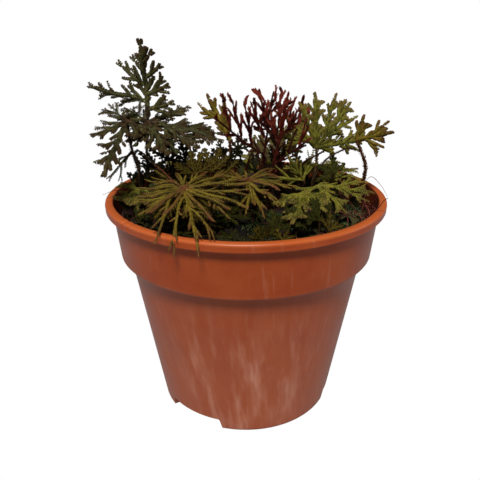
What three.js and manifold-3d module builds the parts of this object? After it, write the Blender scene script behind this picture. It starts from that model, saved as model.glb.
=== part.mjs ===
// A potted sanguinea spikemoss: a terracotta-coloured nursery pot, its compost and its fern-like sprays.
// Millimetres, +Z up. The origin is on the pot's axis, at the level that the pot stands on.

import * as THREE from 'three';
import { mergeVertices } from 'three/addons/utils/BufferGeometryUtils.js';
import Module from 'manifold-3d';

const wasm = await Module();
wasm.setup();

// Pot sizes
const POT_HEIGHT = 96;
const RIM_RADIUS = 60;
const LIP_HEIGHT = 3.6;
const LIP_OVERHANG = 2.9;
const LIP_ROUND = 1.2;
const MOUTH_BEVEL = [0.4, 1.6];
const COLLAR_TOP_RADIUS = 57.1;
const COLLAR_BOTTOM_RADIUS = 55;
const COLLAR_BOTTOM = 71.7;
const STEP_HEIGHT = 2.4;
const STEP_ROUND = 0.7;
const BODY_TOP_RADIUS = 51;
const FOOT_RADIUS = 39.2;
const FOOT_HEIGHT = 5;
const FOOT_WALL = 2.4;
const WALL = 1;
const FLOOR = 1.1;
const FLOOR_BEVEL = 1.2;
const POT_SIDES = 60;
const CUT_MARGIN = 1;

// Three gaps part the foot ring into three feet
const FOOT_GAPS = [-36, 84, 204];
const FOOT_GAP_ANGLE = 40;
const DRAIN_HOLES = 6;
const DRAIN_HOLE_RADIUS = 4;
const DRAIN_CIRCLE = 27;
const DRAIN_HOLE_SIDES = 12;

// Compost
const FIT_GAP = 0.35;
const HOLE_GAP = 0.5;
const SOIL_LEVEL = 86;
const SOIL_SIDES = 36;
const SOIL_RINGS = [44, 32, 20, 8];
const SOIL_EDGE = 3;
const MOUND_HEIGHT = 2.2;
const SOIL_WAVE = { height: 0.7, x: 0.21, y: 0.19, shift: 1 };
const SOIL_RIPPLE = { height: 0.5, x: 0.13, y: 0.33 };
const HOLE_DEPTH = 9;
const HOLE_SIDES = 6;

// Stalks
const STALK_RADIUS = 0.8;
const STALK_SIDES = 5;
const STALK_STEP = 5.5;
const STALK_SAMPLE = 1.2;
const FOOT_LIFT = 1;
const COLLAR_LIFT = 0.5;

// Blades: a thin sheet that ripples a little, cut to ribs and their side lobes
const BLADE = 0.7;
const RIPPLE_RATE = 0.35;
const RIPPLE_SWING = 2;
const RIPPLE_START = 12;
const RIB_STEP = 3.3;
const RIB_EASE = 0.5;
const BRANCH_TURN = 36;
const BRANCH_WIDTH = 0.86;
const LOBE_TURN = 42;
const LOBE_BEND = 12;
const LOBE_WIDTH = 0.84;
const LOBE_FADE = 0.55;
const LOBE_TRIM = 0.9;
const SHORTEST_LOBE = 3.4;
const FORKED_LOBE = 6.4;
const FORKED_LOBE_FOOT = 0.55;
const FORKED_LOBE_TURN = 48;
const FORKED_LOBE_WIDTHS = [0.95, 0.85];
const TIP_LOBE = 2.6;
const TIP_TURN = 24;
const TIP_WIDTH = 0.8;
const WIDE_CORNER = 150;
const WIDE_CORNER_REACH = 1.12;

// Room that each blade keeps to the others, to the compost and to the pot
const SAMPLES = 3;
const SIDE_CLEARANCE = 0.45;
const FACE_CLEARANCE = 0.45;
const FOOT_ZONE = 9;
const SOIL_CLEARANCE = 1.2;
const RIM_CLEARANCE = 0.9;
const RIM_ZONE = [54.1, 61.2];
const WALL_ZONE = 51;
const SOIL_ZONE = 54;

const DEGREE = Math.PI / 180;

// Small helpers between three.js geometry and solids

function solidOf(geometry) {
  const bare = geometry.index ? geometry.toNonIndexed() : geometry.clone();
  for (const name of Object.keys(bare.attributes)) {
    if (name !== 'position') bare.deleteAttribute(name);
  }
  const merged = mergeVertices(bare, 1e-4);
  return new wasm.Manifold(new wasm.Mesh({
    numProp: 3,
    vertProperties: new Float32Array(merged.attributes.position.array),
    triVerts: new Uint32Array(merged.index.array),
  }));
}

function geometryOf(solid) {
  const mesh = solid.getMesh();
  const geometry = new THREE.BufferGeometry();
  geometry.setAttribute('position', new THREE.BufferAttribute(new Float32Array(mesh.vertProperties), 3));
  geometry.setIndex(new THREE.BufferAttribute(new Uint32Array(mesh.triVerts), 1));
  geometry.computeVertexNormals();
  return geometry;
}

function turned(points, sides) {
  const outline = points.map(([radius, height]) => new THREE.Vector2(radius, height));
  const lathe = new THREE.LatheGeometry(outline, sides);
  lathe.rotateX(Math.PI / 2);
  return solidOf(lathe);
}

function arc(centreX, centreY, radius, from, to, steps) {
  const points = [];
  for (let i = 0; i <= steps; i += 1) {
    const angle = (from + ((to - from) * i) / steps) * DEGREE;
    points.push([centreX + radius * Math.cos(angle), centreY + radius * Math.sin(angle)]);
  }
  return points;
}

// Pot

function potOuterWall() {
  const stepTop = COLLAR_BOTTOM + STEP_HEIGHT / 2;
  const stepFoot = COLLAR_BOTTOM - STEP_HEIGHT / 2;
  return [
    [FOOT_RADIUS, 0],
    [BODY_TOP_RADIUS, stepFoot - STEP_ROUND],
    [COLLAR_BOTTOM_RADIUS - STEP_ROUND, COLLAR_BOTTOM],
    [COLLAR_BOTTOM_RADIUS, stepTop],
    [COLLAR_TOP_RADIUS, POT_HEIGHT - LIP_HEIGHT],
    [RIM_RADIUS - LIP_ROUND / 2, POT_HEIGHT - LIP_HEIGHT],
    ...arc(RIM_RADIUS - LIP_ROUND, POT_HEIGHT - LIP_ROUND, LIP_ROUND, 0, 90, 3),
  ];
}

function potInnerRadius(height) {
  if (height > COLLAR_BOTTOM + STEP_HEIGHT / 2) {
    const share = (height - COLLAR_BOTTOM) / (POT_HEIGHT - LIP_HEIGHT - COLLAR_BOTTOM);
    return COLLAR_BOTTOM_RADIUS + (COLLAR_TOP_RADIUS - COLLAR_BOTTOM_RADIUS) * share - WALL;
  }
  return FOOT_RADIUS + ((BODY_TOP_RADIUS - FOOT_RADIUS) * height) / COLLAR_BOTTOM - WALL;
}

function potInnerWall(inset, base, top) {
  const justAboveStep = COLLAR_BOTTOM + STEP_HEIGHT / 2 + 0.01;
  const heights = [top, justAboveStep, COLLAR_BOTTOM - STEP_HEIGHT, base];
  return heights.map((height) => [potInnerRadius(height) - inset, height]);
}

function makePot() {
  const floorTop = FOOT_HEIGHT + FLOOR;
  const footInside = FOOT_RADIUS - FOOT_WALL;
  const profile = [
    [0, FOOT_HEIGHT],
    [footInside - FLOOR_BEVEL, FOOT_HEIGHT],
    [footInside, FOOT_HEIGHT - FLOOR_BEVEL],
    [footInside, 0],
    ...potOuterWall(),
    [COLLAR_TOP_RADIUS - MOUTH_BEVEL[0], POT_HEIGHT - MOUTH_BEVEL[0]],
    ...potInnerWall(0, floorTop + FLOOR_BEVEL, POT_HEIGHT - MOUTH_BEVEL[1]),
    [potInnerRadius(floorTop) - FLOOR_BEVEL, floorTop],
    [0, floorTop],
  ];
  let pot = turned(profile, POT_SIDES);
  for (const middle of FOOT_GAPS) {
    const side = Math.tan((FOOT_GAP_ANGLE / 2) * DEGREE) * RIM_RADIUS;
    const wedge = new THREE.Shape([
      new THREE.Vector2(0, 0),
      new THREE.Vector2(side, -RIM_RADIUS),
      new THREE.Vector2(-side, -RIM_RADIUS),
    ]);
    const cutter = new THREE.ExtrudeGeometry(wedge, { depth: FOOT_HEIGHT + CUT_MARGIN, bevelEnabled: false });
    cutter.translate(0, 0, -CUT_MARGIN);
    cutter.rotateZ(middle * DEGREE);
    pot = pot.subtract(solidOf(cutter));
  }
  for (let i = 0; i <= DRAIN_HOLES; i += 1) {
    const circle = i === DRAIN_HOLES ? 0 : DRAIN_CIRCLE;
    const angle = ((i + 0.5) / DRAIN_HOLES) * 2 * Math.PI;
    const depth = FLOOR + 2 * CUT_MARGIN;
    const drill = new THREE.CylinderGeometry(DRAIN_HOLE_RADIUS, DRAIN_HOLE_RADIUS, depth, DRAIN_HOLE_SIDES);
    drill.rotateX(Math.PI / 2);
    drill.translate(circle * Math.cos(angle), circle * Math.sin(angle), FOOT_HEIGHT + FLOOR / 2);
    pot = pot.subtract(solidOf(drill));
  }
  return pot;
}

// Compost: its top is a low uneven mound

function soilHeight(x, y) {
  const radius = Math.hypot(x, y) / COLLAR_BOTTOM_RADIUS;
  const mound = MOUND_HEIGHT * (1 - radius * radius);
  const wave = SOIL_WAVE.height * Math.sin(SOIL_WAVE.x * x + SOIL_WAVE.shift) * Math.cos(SOIL_WAVE.y * y);
  const ripple = SOIL_RIPPLE.height * Math.sin(SOIL_RIPPLE.x * x + SOIL_RIPPLE.y * y);
  return SOIL_LEVEL + mound + wave + ripple;
}

function makeSoil(stalkFeet) {
  const floorTop = FOOT_HEIGHT + FLOOR + FIT_GAP;
  const edge = potInnerRadius(SOIL_LEVEL) - FIT_GAP;
  const profile = [
    [0, floorTop],
    [potInnerRadius(floorTop) - FIT_GAP - FLOOR_BEVEL - 0.4, floorTop],
    ...potInnerWall(FIT_GAP + 0.15, floorTop + FLOOR_BEVEL + 0.4, SOIL_LEVEL - SOIL_EDGE).reverse(),
    [edge, SOIL_LEVEL],
    ...SOIL_RINGS.map((radius) => [radius, SOIL_LEVEL]),
    [0, SOIL_LEVEL],
  ];
  const outline = profile.map(([radius, height]) => new THREE.Vector2(radius, height));
  const lathe = new THREE.LatheGeometry(outline, SOIL_SIDES);
  lathe.rotateX(Math.PI / 2);
  const places = lathe.attributes.position;
  for (let i = 0; i < places.count; i += 1) {
    if (places.getZ(i) > SOIL_LEVEL - 0.01) places.setZ(i, soilHeight(places.getX(i), places.getY(i)));
  }
  let soil = solidOf(lathe);
  for (const [x, y, radius] of stalkFeet) {
    const wide = (radius + HOLE_GAP) / Math.cos(Math.PI / HOLE_SIDES);
    const hole = new THREE.CylinderGeometry(wide, wide, 3 * HOLE_DEPTH, HOLE_SIDES);
    hole.rotateX(Math.PI / 2);
    hole.translate(x, y, soilHeight(x, y) + HOLE_DEPTH / 2);
    soil = soil.subtract(solidOf(hole));
  }
  return soil;
}

// A sheet is the curved surface that a blade lies in. Its flat plan has its middle rib along +p,
// with turns to +q positive. It bends away from its upper face by curl ahead and by curlBack behind,
// in radians per mm, and past the brink its ribs hang down more and more steeply.

function makeSheet({ at, along, face, curl, curlBack = curl, ripple = 0.5, brink = 99, hang = 0 }) {
  const origin = new THREE.Vector3(...at);
  const middle = new THREE.Vector3(...along).normalize();
  const upper = new THREE.Vector3(...face);
  upper.addScaledVector(middle, -upper.dot(middle)).normalize();
  const side = new THREE.Vector3().crossVectors(upper, middle);
  const place = (p, q) => {
    const reach = Math.hypot(p, q);
    const angle = Math.atan2(q, p);
    const ahead = (1 + Math.cos(angle)) / 2;
    const rate = curlBack + (curl - curlBack) * ahead;
    const bend = rate * reach;
    const flat = Math.abs(bend) < 1e-6;
    const out = flat ? reach : Math.sin(bend) / rate;
    const down = flat ? 0 : (1 - Math.cos(bend)) / rate;
    const swing = RIPPLE_RATE * reach + RIPPLE_SWING * Math.sin(3 * angle);
    const wave = ripple * Math.sin(swing) * Math.min(1, reach / RIPPLE_START);
    const drop = hang * Math.max(0, reach - brink) ** 2;
    return origin.clone()
      .addScaledVector(middle, out * Math.cos(angle))
      .addScaledVector(side, out * Math.sin(angle))
      .addScaledVector(upper, wave - down - drop);
  };
  const normal = (p, q) => {
    const delta = 0.05;
    const alongP = place(p + delta, q).sub(place(p - delta, q));
    const alongQ = place(p, q + delta).sub(place(p, q - delta));
    return alongP.cross(alongQ).normalize();
  };
  return { place, normal };
}

// Everything grown so far, as samples with their half width and the way they face

const grown = [];

function hasRoom(tree, samples, join) {
  for (const sample of samples) {
    const radius = Math.hypot(sample.point.x, sample.point.y);
    const height = sample.point.z;
    const ground = soilHeight(sample.point.x, sample.point.y);
    const overRim = radius > RIM_ZONE[0] && radius < RIM_ZONE[1];
    if (overRim && height < POT_HEIGHT + RIM_CLEARANCE) return false;
    if (radius > WALL_ZONE && radius < RIM_ZONE[1] && height < POT_HEIGHT - RIM_CLEARANCE) return false;
    if (radius < SOIL_ZONE && height < ground + SOIL_CLEARANCE) return false;
    for (const other of grown) {
      if (other.owner === tree.owner && join(other, sample)) continue;
      const gap = other.point.clone().sub(sample.point);
      const far = sample.half + other.half + SIDE_CLEARANCE;
      if (Math.abs(gap.x) > far || Math.abs(gap.y) > far || Math.abs(gap.z) > far) continue;
      const distance = gap.length();
      if (distance > far) continue;
      const facing = Math.abs(gap.dot(sample.normal));
      const lean = Math.sqrt(Math.max(0, 1 - sample.normal.dot(other.normal) ** 2));
      if (facing < BLADE + FACE_CLEARANCE + other.half * lean) return false;
    }
  }
  return true;
}

// A blade's plan: nodes in the flat, joined as a tree by ribs

function newTree(sheet, half, owner) {
  return { sheet, half, owner, nodes: [{ p: 0, q: 0 }], edges: [], ribs: [] };
}

function samplesOf(tree, from, to, half, edge) {
  const samples = [];
  for (let i = 1; i <= SAMPLES; i += 1) {
    const p = from.p + ((to.p - from.p) * i) / SAMPLES;
    const q = from.q + ((to.q - from.q) * i) / SAMPLES;
    samples.push({
      point: tree.sheet.place(p, q),
      normal: tree.sheet.normal(p, q),
      half,
      owner: tree.owner,
      tree,
      edge,
    });
  }
  return samples;
}

function addEdge(tree, start, turn, length, half) {
  const from = tree.nodes[start];
  const to = { p: from.p + length * Math.cos(turn * DEGREE), q: from.q + length * Math.sin(turn * DEGREE) };
  const edge = { start, end: tree.nodes.length, half, turn };
  const near = new Set(tree.edges.filter((other) => other.start === start || other.end === start));
  const foot = tree.sheet.place(0, 0);
  const joins = (other, sample) => near.has(other.edge) || other.tree === null
    || (other.tree !== tree && sample.point.distanceTo(foot) < FOOT_ZONE);
  const samples = samplesOf(tree, from, to, half, edge);
  if (!hasRoom(tree, samples, joins)) return null;
  tree.nodes.push(to);
  tree.edges.push(edge);
  grown.push(...samples);
  return edge;
}

// A branch leaves its parent at an angle that is never too narrow for the corner between them

function forkTurn(turn, parentTurn) {
  const away = turn - parentTurn;
  if (Math.abs(away) >= BRANCH_TURN) return turn;
  return parentTurn + (away < 0 ? -BRANCH_TURN : BRANCH_TURN);
}

// Grows one rib and the branches on it, as far as there is room

function growRib(tree, start, rib, firstTurn, half) {
  const reach = rib.reach - TIP_LOBE;
  const steps = Math.max(1, Math.round(reach / RIB_STEP));
  const length = reach / steps;
  const trail = [start];
  let turn = firstTurn;
  for (let i = 0; i < steps; i += 1) {
    const edge = addEdge(tree, trail[trail.length - 1], turn, length, half);
    if (!edge) break;
    trail.push(edge.end);
    turn += (rib.turn - turn) * RIB_EASE;
  }
  const grownRib = { trail, half, taken: new Map() };
  tree.ribs.push(grownRib);
  for (const [where, branch] of rib.branches) {
    const index = Math.round(where / length);
    if (index < 1 || index >= trail.length) continue;
    const parent = tree.edges.find((edge) => edge.end === trail[index]);
    const from = forkTurn(branch.turn, parent.turn);
    grownRib.taken.set(index, Math.sign(from - parent.turn));
    growRib(tree, trail[index], branch, from, half * BRANCH_WIDTH);
  }
  return grownRib;
}

// A side lobe is as long as there is room for, and a long one carries a lobe of its own

function growLobe(tree, start, turn, reach, half, bend) {
  for (let length = reach; length >= SHORTEST_LOBE; length -= LOBE_TRIM) {
    const first = length > FORKED_LOBE ? length * FORKED_LOBE_FOOT : length;
    const edge = addEdge(tree, start, turn, first, half);
    if (!edge) continue;
    if (length > first) {
      const [tipWidth, sideWidth] = FORKED_LOBE_WIDTHS;
      const sideTurn = turn - bend + Math.sign(bend) * FORKED_LOBE_TURN;
      addEdge(tree, edge.end, turn - bend, length - first, half * tipWidth);
      addEdge(tree, edge.end, sideTurn, SHORTEST_LOBE, half * sideWidth);
    }
    return;
  }
}

function growLobes(tree, lobe) {
  for (const rib of [...tree.ribs]) {
    let side = 1;
    const count = rib.trail.length;
    for (let i = 1; i < count; i += 1) {
      const parent = tree.edges.find((edge) => edge.end === rib.trail[i]);
      const isTip = i === count - 1;
      const taken = rib.taken.get(i);
      if (isTip && !taken) {
        addEdge(tree, rib.trail[i], parent.turn + TIP_TURN, TIP_LOBE, rib.half * TIP_WIDTH);
        addEdge(tree, rib.trail[i], parent.turn - TIP_TURN, TIP_LOBE, rib.half * TIP_WIDTH);
        continue;
      }
      side = taken ? -taken : side;
      if (!taken) {
        const reach = lobe * (1 - (LOBE_FADE * i) / count);
        const turn = parent.turn + side * LOBE_TURN;
        growLobe(tree, rib.trail[i], turn, reach, rib.half * LOBE_WIDTH, side * LOBE_BEND);
      }
      side = -side;
    }
  }
}

// The blade's outline: where the borders of neighbouring ribs meet at each node

function bladeGeometry(tree) {
  const plan = [];
  const at = (p, q) => plan.push([p, q]) - 1;
  const corner = new Map();
  const key = (edge, node, side) => `${tree.edges.indexOf(edge)}:${node}:${side}`;
  const faces = [];
  const border = [];
  tree.nodes.forEach((node, index) => {
    const spokes = tree.edges
      .filter((edge) => edge.start === index || edge.end === index)
      .map((edge) => {
        const other = tree.nodes[edge.start === index ? edge.end : edge.start];
        return { edge, angle: Math.atan2(other.q - node.q, other.p - node.p) };
      })
      .sort((a, b) => a.angle - b.angle);
    if (spokes.length === 1) {
      const { edge, angle } = spokes[0];
      const wide = edge.half * (index === 0 ? 1 : TIP_WIDTH);
      const left = at(node.p - wide * Math.sin(angle), node.q + wide * Math.cos(angle));
      const right = at(node.p + wide * Math.sin(angle), node.q - wide * Math.cos(angle));
      corner.set(key(edge, index, 'left'), left);
      corner.set(key(edge, index, 'right'), right);
      if (index === 0) {
        border.push([left, right]);
      } else {
        const point = wide * TIP_WIDTH;
        const tip = at(node.p - point * Math.cos(angle), node.q - point * Math.sin(angle));
        faces.push([left, tip, right]);
        border.push([left, tip], [tip, right]);
      }
      return;
    }
    const ring = spokes.map((spoke, i) => {
      const next = spokes[(i + 1) % spokes.length];
      let opening = next.angle - spoke.angle;
      if (opening <= 1e-9) opening += 2 * Math.PI;
      const one = spoke.edge.half;
      const two = next.edge.half;
      let point;
      if (opening > WIDE_CORNER * DEGREE) {
        const reach = Math.min(WIDE_CORNER_REACH, 1 / Math.sin(opening / 2)) * ((one + two) / 2);
        const middle = spoke.angle + opening / 2;
        point = at(node.p + reach * Math.cos(middle), node.q + reach * Math.sin(middle));
      } else {
        const reach = (two + one * Math.cos(opening)) / Math.sin(opening);
        const cos = Math.cos(spoke.angle);
        const sin = Math.sin(spoke.angle);
        point = at(node.p + reach * cos - one * sin, node.q + reach * sin + one * cos);
      }
      corner.set(key(spoke.edge, index, 'left'), point);
      corner.set(key(next.edge, index, 'right'), point);
      return point;
    });
    for (let i = 1; i + 1 < ring.length; i += 1) faces.push([ring[0], ring[i], ring[i + 1]]);
  });
  for (const edge of tree.edges) {
    const startLeft = corner.get(key(edge, edge.start, 'left'));
    const startRight = corner.get(key(edge, edge.start, 'right'));
    const endLeft = corner.get(key(edge, edge.end, 'right'));
    const endRight = corner.get(key(edge, edge.end, 'left'));
    faces.push([startRight, endRight, endLeft], [startRight, endLeft, startLeft]);
    border.push([startRight, endRight], [endLeft, startLeft]);
  }
  const positions = [];
  for (const lift of [BLADE / 2, -BLADE / 2]) {
    for (const [p, q] of plan) {
      const point = tree.sheet.place(p, q).addScaledVector(tree.sheet.normal(p, q), lift);
      positions.push(point.x, point.y, point.z);
    }
  }
  const under = plan.length;
  const index = [];
  for (const [a, b, c] of faces) index.push(a, b, c, a + under, c + under, b + under);
  for (const [a, b] of border) index.push(a + under, b + under, b, a + under, b, a);
  const geometry = new THREE.BufferGeometry();
  geometry.setAttribute('position', new THREE.BufferAttribute(new Float32Array(positions), 3));
  geometry.setIndex(index);
  return geometry;
}

// A stalk rises from its hole in the compost to a point on one of its plant's sheets

function stalkCurve(stalk, sheets) {
  const [footX, footY] = stalk.foot;
  const [sheetIndex, p, q] = stalk.to ?? [0, 0, 0];
  const ground = soilHeight(footX, footY);
  const points = [
    new THREE.Vector3(footX, footY, ground - HOLE_DEPTH + FOOT_LIFT),
    new THREE.Vector3(footX, footY, ground + COLLAR_LIFT),
    ...(stalk.via ?? []).map((point) => new THREE.Vector3(...point)),
    sheets[sheetIndex].place(p, q),
  ];
  return new THREE.CatmullRomCurve3(points, false, 'centripetal');
}

function stalkGeometry(curve, radius) {
  const section = new THREE.Shape();
  for (let i = 0; i < STALK_SIDES; i += 1) {
    const angle = (i / STALK_SIDES) * 2 * Math.PI;
    const x = radius * Math.cos(angle);
    const y = radius * Math.sin(angle);
    if (i === 0) section.moveTo(x, y);
    else section.lineTo(x, y);
  }
  const steps = Math.max(4, Math.round(curve.getLength() / STALK_STEP));
  return new THREE.ExtrudeGeometry(section, { steps, extrudePath: curve, bevelEnabled: false });
}

function growStalk(curve, radius, owner) {
  const count = Math.ceil(curve.getLength() / STALK_SAMPLE);
  for (let i = 0; i <= count; i += 1) {
    const point = curve.getPointAt(i / count);
    const normal = curve.getTangentAt(i / count);
    grown.push({ point, normal, half: radius, owner, edge: null, tree: null });
  }
}

// The plants. Turns are degrees from the sheet's middle rib, reaches and places are millimetres.

const rib = (turn, reach, ...branches) => ({ turn, reach, branches });

const PLANTS = [
  {
    name: 'tall_spray',
    colour: 0x3a4526,
    stalks: [
      { foot: [-40, 5], via: [[-42, 3, 104], [-41.5, 1, 118]] },
      { foot: [-33, 7], via: [[-32, 4, 104], [-31.5, 1, 116]], to: [1, 10, 0] },
    ],
    sheets: [
      {
        at: [-40.6, 0, 128.2], along: [0.02, -0.12, 1], face: [-0.2, -1, 0], curl: -0.006,
        half: 1.1, lobe: 6,
        ribs: [
          rib(1, 31,
            [3, rib(-71, 12)],
            [7, rib(70, 22, [12, rib(42, 8)])],
            [10, rib(-66, 11)],
            [13, rib(49, 14)],
            [16, rib(-52, 10)],
            [20, rib(38, 7)],
            [23, rib(-44, 7)]),
        ],
      },
      {
        at: [-40.6, -0.6, 126.4], along: [1, -0.25, -0.05], face: [0.1, -0.5, 1], curl: 0.012, half: 1.05, lobe: 6,
        ribs: [
          rib(2, 32, [7, rib(-22, 20)], [13, rib(30, 15)], [20, rib(-20, 10)]),
          rib(54, 21, [7, rib(32, 15)], [10, rib(84, 8)]),
          rib(-48, 21, [7, rib(-84, 10)]),
          rib(-112, 13),
          rib(146, 20, [7, rib(110, 12)]),
        ],
      },
    ],
  },
  {
    name: 'left_spray',
    colour: 0x3f4a28,
    stalks: [{ foot: [-45, 9], via: [[-46.5, 6, 103], [-48.2, 1, 117]] }],
    sheets: [
      {
        at: [-48, -5.5, 127.6], along: [-1, -0.3, 0], face: [-0.1, -0.5, 1], curl: 0.016, half: 1.05, lobe: 6,
        ribs: [
          rib(22, 16, [7, rib(-8, 7)]),
          rib(64, 29, [10, rib(100, 8)], [16, rib(28, 8)]),
          rib(-58, 16, [7, rib(-94, 14)]),
          rib(133, 9),
        ],
      },
    ],
  },
  {
    name: 'front_rosette',
    colour: 0x8d8836,
    radius: 0.9,
    stalks: [{ foot: [-25, -20], via: [[-24.5, -24, 97]] }],
    sheets: [
      {
        at: [-23.8, -28.5, 106.5], along: [0, -1, -0.1], face: [0, -0.1, 1], curl: 0.011, curlBack: -0.015,
        ripple: 0.3, brink: 31, hang: 0.15, half: 0.85, lobe: 4.6,
        ribs: [
          rib(13, 36, [7, rib(0, 28)], [17, rib(24, 18)]),
          rib(-36, 24, [7, rib(-14, 24)], [10, rib(-58, 12)]),
          rib(-86, 17, [7, rib(-64, 12)]),
          rib(-138, 19, [7, rib(-112, 12)]),
          rib(160, 16, [7, rib(-176, 10)]),
          rib(108, 26, [7, rib(134, 13)], [13, rib(92, 12)]),
          rib(60, 27, [7, rib(84, 19)], [10, rib(40, 17)]),
        ],
      },
    ],
  },
  {
    name: 'right_fan',
    colour: 0x7d8c3c,
    stalks: [{ foot: [28, 7], via: [[29, 6, 100], [29.8, 4.6, 108]] }],
    sheets: [
      {
        at: [30.2, 4, 114.8], along: [0.3, 0.2, 1], face: [0.3, -1, 0.25], curl: 0.016, half: 1, lobe: 5,
        ribs: [
          rib(62, 17, [4, rib(92, 14)], [10, rib(36, 8)]),
          rib(16, 23, [4, rib(38, 17)], [7, rib(0, 18)], [13, rib(30, 9)]),
          rib(-26, 26, [7, rib(-8, 19)], [10, rib(-44, 16)], [16, rib(-14, 10)]),
          rib(-66, 30, [7, rib(-46, 21)], [13, rib(-86, 10)], [16, rib(-52, 12)]),
        ],
      },
    ],
  },
  {
    name: 'red_spray_left',
    colour: 0x6b2222,
    radius: 0.9,
    stalks: [{ foot: [5, 6], via: [[6, 4.6, 98], [7, 3.4, 105]] }],
    sheets: [
      {
        at: [7.6, 3, 111.8], along: [-0.15, 0, 1], face: [0.3, -1, 0], curl: -0.012, half: 0.8, lobe: 5,
        ribs: [
          rib(44, 28, [7, rib(8, 20)], [13, rib(12, 18)], [17, rib(66, 8)], [20, rib(14, 14)]),
          rib(-14, 27, [7, rib(14, 18)], [13, rib(8, 13)], [16, rib(-36, 9)]),
        ],
      },
    ],
  },
  {
    name: 'red_spray_right',
    colour: 0x6b2222,
    radius: 0.9,
    stalks: [{ foot: [10, -1], via: [[10, -2, 97]] }],
    sheets: [
      {
        at: [11.7, -3, 108.9], along: [0.3, 0, 1], face: [-0.45, -1, 0], curl: -0.01, half: 0.8, lobe: 5,
        ribs: [
          rib(4, 31, [10, rib(30, 16)], [13, rib(-14, 16)], [20, rib(22, 11)]),
          rib(-36, 20, [7, rib(-10, 15)], [13, rib(0, 10)]),
        ],
      },
    ],
  },
  {
    name: 'red_spray_back',
    colour: 0x6b2222,
    radius: 0.9,
    stalks: [{ foot: [16, 12], via: [[15, 10, 98]] }],
    sheets: [
      {
        at: [15.1, 9, 108.1], along: [0.1, 0, 1], face: [0.45, -1, 0], curl: 0.012, half: 0.8, lobe: 5,
        ribs: [
          rib(22, 28, [10, rib(0, 18)], [13, rib(40, 12)]),
          rib(-22, 27, [10, rib(0, 17)], [13, rib(-40, 11)]),
        ],
      },
    ],
  },
  {
    name: 'yellow_sprig',
    colour: 0x8a8f45,
    stalks: [{ foot: [1, 16], via: [[-4, 15, 102], [-6.5, 14.3, 110]] }],
    sheets: [
      {
        at: [-7.1, 14, 116], along: [-0.5, 0, 1], face: [-0.3, -1, 0.3], curl: 0.015, half: 0.95, lobe: 4.6,
        ribs: [rib(2, 22, [10, rib(18, 12)], [7, rib(-14, 14)])],
      },
    ],
  },
  {
    name: 'right_sprig',
    colour: 0x8f8a40,
    stalks: [{ foot: [46, 9], via: [[50, 6, 96], [50, 2, 106]] }],
    sheets: [
      {
        at: [46, -2, 119.3], along: [0.6, -0.3, 0.6], face: [-0.2, -1, 0.5], curl: 0.012, half: 0.9, lobe: 4.4,
        ribs: [
          rib(-24, 15, [7, rib(-2, 9)], [4, rib(-58, 9)]),
          rib(40, 10),
        ],
      },
    ],
  },
  {
    name: 'right_low_fan',
    colour: 0x6f8038,
    stalks: [{ foot: [34, -8], via: [[31, -12, 96]] }],
    sheets: [
      {
        at: [29.2, -14, 103.1], along: [1, -0.2, 0], face: [0, -0.4, 1], curl: 0.014, curlBack: 0.004,
        half: 1, lobe: 5,
        ribs: [
          rib(4, 23, [7, rib(24, 16)], [10, rib(-20, 12)]),
          rib(50, 24, [7, rib(76, 16)], [10, rib(38, 13)]),
          rib(-46, 18, [7, rib(-70, 9)]),
          rib(-140, 9),
        ],
      },
    ],
  },
  {
    name: 'middle_right_spray',
    colour: 0x6b7c36,
    stalks: [{ foot: [23, 2], via: [[24, -3, 97]] }],
    sheets: [
      {
        at: [24.1, -6, 103.2], along: [-0.4, -0.3, 1], face: [0.1, -1, 0.7], curl: 0.012, half: 0.95, lobe: 4.6,
        ribs: [
          rib(8, 15),
          rib(54, 16, [7, rib(30, 9)]),
          rib(-48, 14, [7, rib(-22, 8)]),
        ],
      },
    ],
  },
  {
    name: 'front_fan',
    colour: 0x78a03a,
    stalks: [{ foot: [22, -17], via: [[23, -21, 97]] }],
    sheets: [
      {
        at: [23.6, -24, 102.7], along: [-0.2, -1, -0.1], face: [0, -0.2, 1], curl: 0.022, half: 1.05, lobe: 4.6,
        ribs: [
          rib(-10, 19, [7, rib(12, 11)]),
          rib(-62, 14),
          rib(42, 13),
          rib(102, 10),
        ],
      },
    ],
  },
  {
    name: 'middle_spray',
    colour: 0x7b7f35,
    stalks: [{ foot: [1, -9], via: [[0.5, -14, 98]] }],
    sheets: [
      {
        at: [0.1, -18, 106.6], along: [0.3, -1, 0], face: [0, -0.2, 1], curl: 0.024, curlBack: -0.012,
        half: 0.9, lobe: 4.4,
        ribs: [
          rib(-2, 26, [7, rib(18, 16)], [10, rib(-24, 14)]),
          rib(64, 20),
          rib(122, 17, [7, rib(98, 10)]),
          rib(-160, 15),
          rib(-104, 13),
        ],
      },
    ],
  },
  {
    name: 'left_rim_sprig',
    colour: 0x5c7a35,
    stalks: [{ foot: [-40, -5], via: [[-43, -7, 93]] }],
    sheets: [
      {
        at: [-45.1, -8, 99.4], along: [-1, -0.5, 0], face: [0, -0.3, 1], curl: 0.02, curlBack: 0,
        half: 0.95, lobe: 4.4,
        ribs: [
          rib(22, 12),
          rib(72, 13),
          rib(-64, 11),
          rib(166, 9),
        ],
      },
    ],
  },
  {
    name: 'dark_sprig',
    colour: 0x2f4a2c,
    stalks: [{ foot: [41, -14], via: [] }],
    sheets: [
      {
        at: [41, -18, 92.4], along: [1, 0, 0.1], face: [0, -0.3, 1], curl: 0.015, half: 0.9, lobe: 4,
        ribs: [rib(12, 9), rib(-48, 9), rib(88, 8), rib(-150, 9)],
      },
    ],
  },
  {
    name: 'drooping_stem',
    colour: 0x2a2a1c,
    stalks: [{ foot: [-45, -1], via: [[-45.5, -2, 100], [-45, -5, 111]] }],
    sheets: [
      {
        at: [-47.4, -6, 115.1], along: [-1, -0.2, -0.2], face: [0, -1, 0.6], curl: 0.03, half: 0.8, lobe: 4,
        ribs: [rib(34, 15, [7, rib(70, 7)])],
      },
    ],
  },
  {
    name: 'back_left_spray',
    colour: 0x55662f,
    stalks: [{ foot: [-25, 22], via: [] }],
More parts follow.
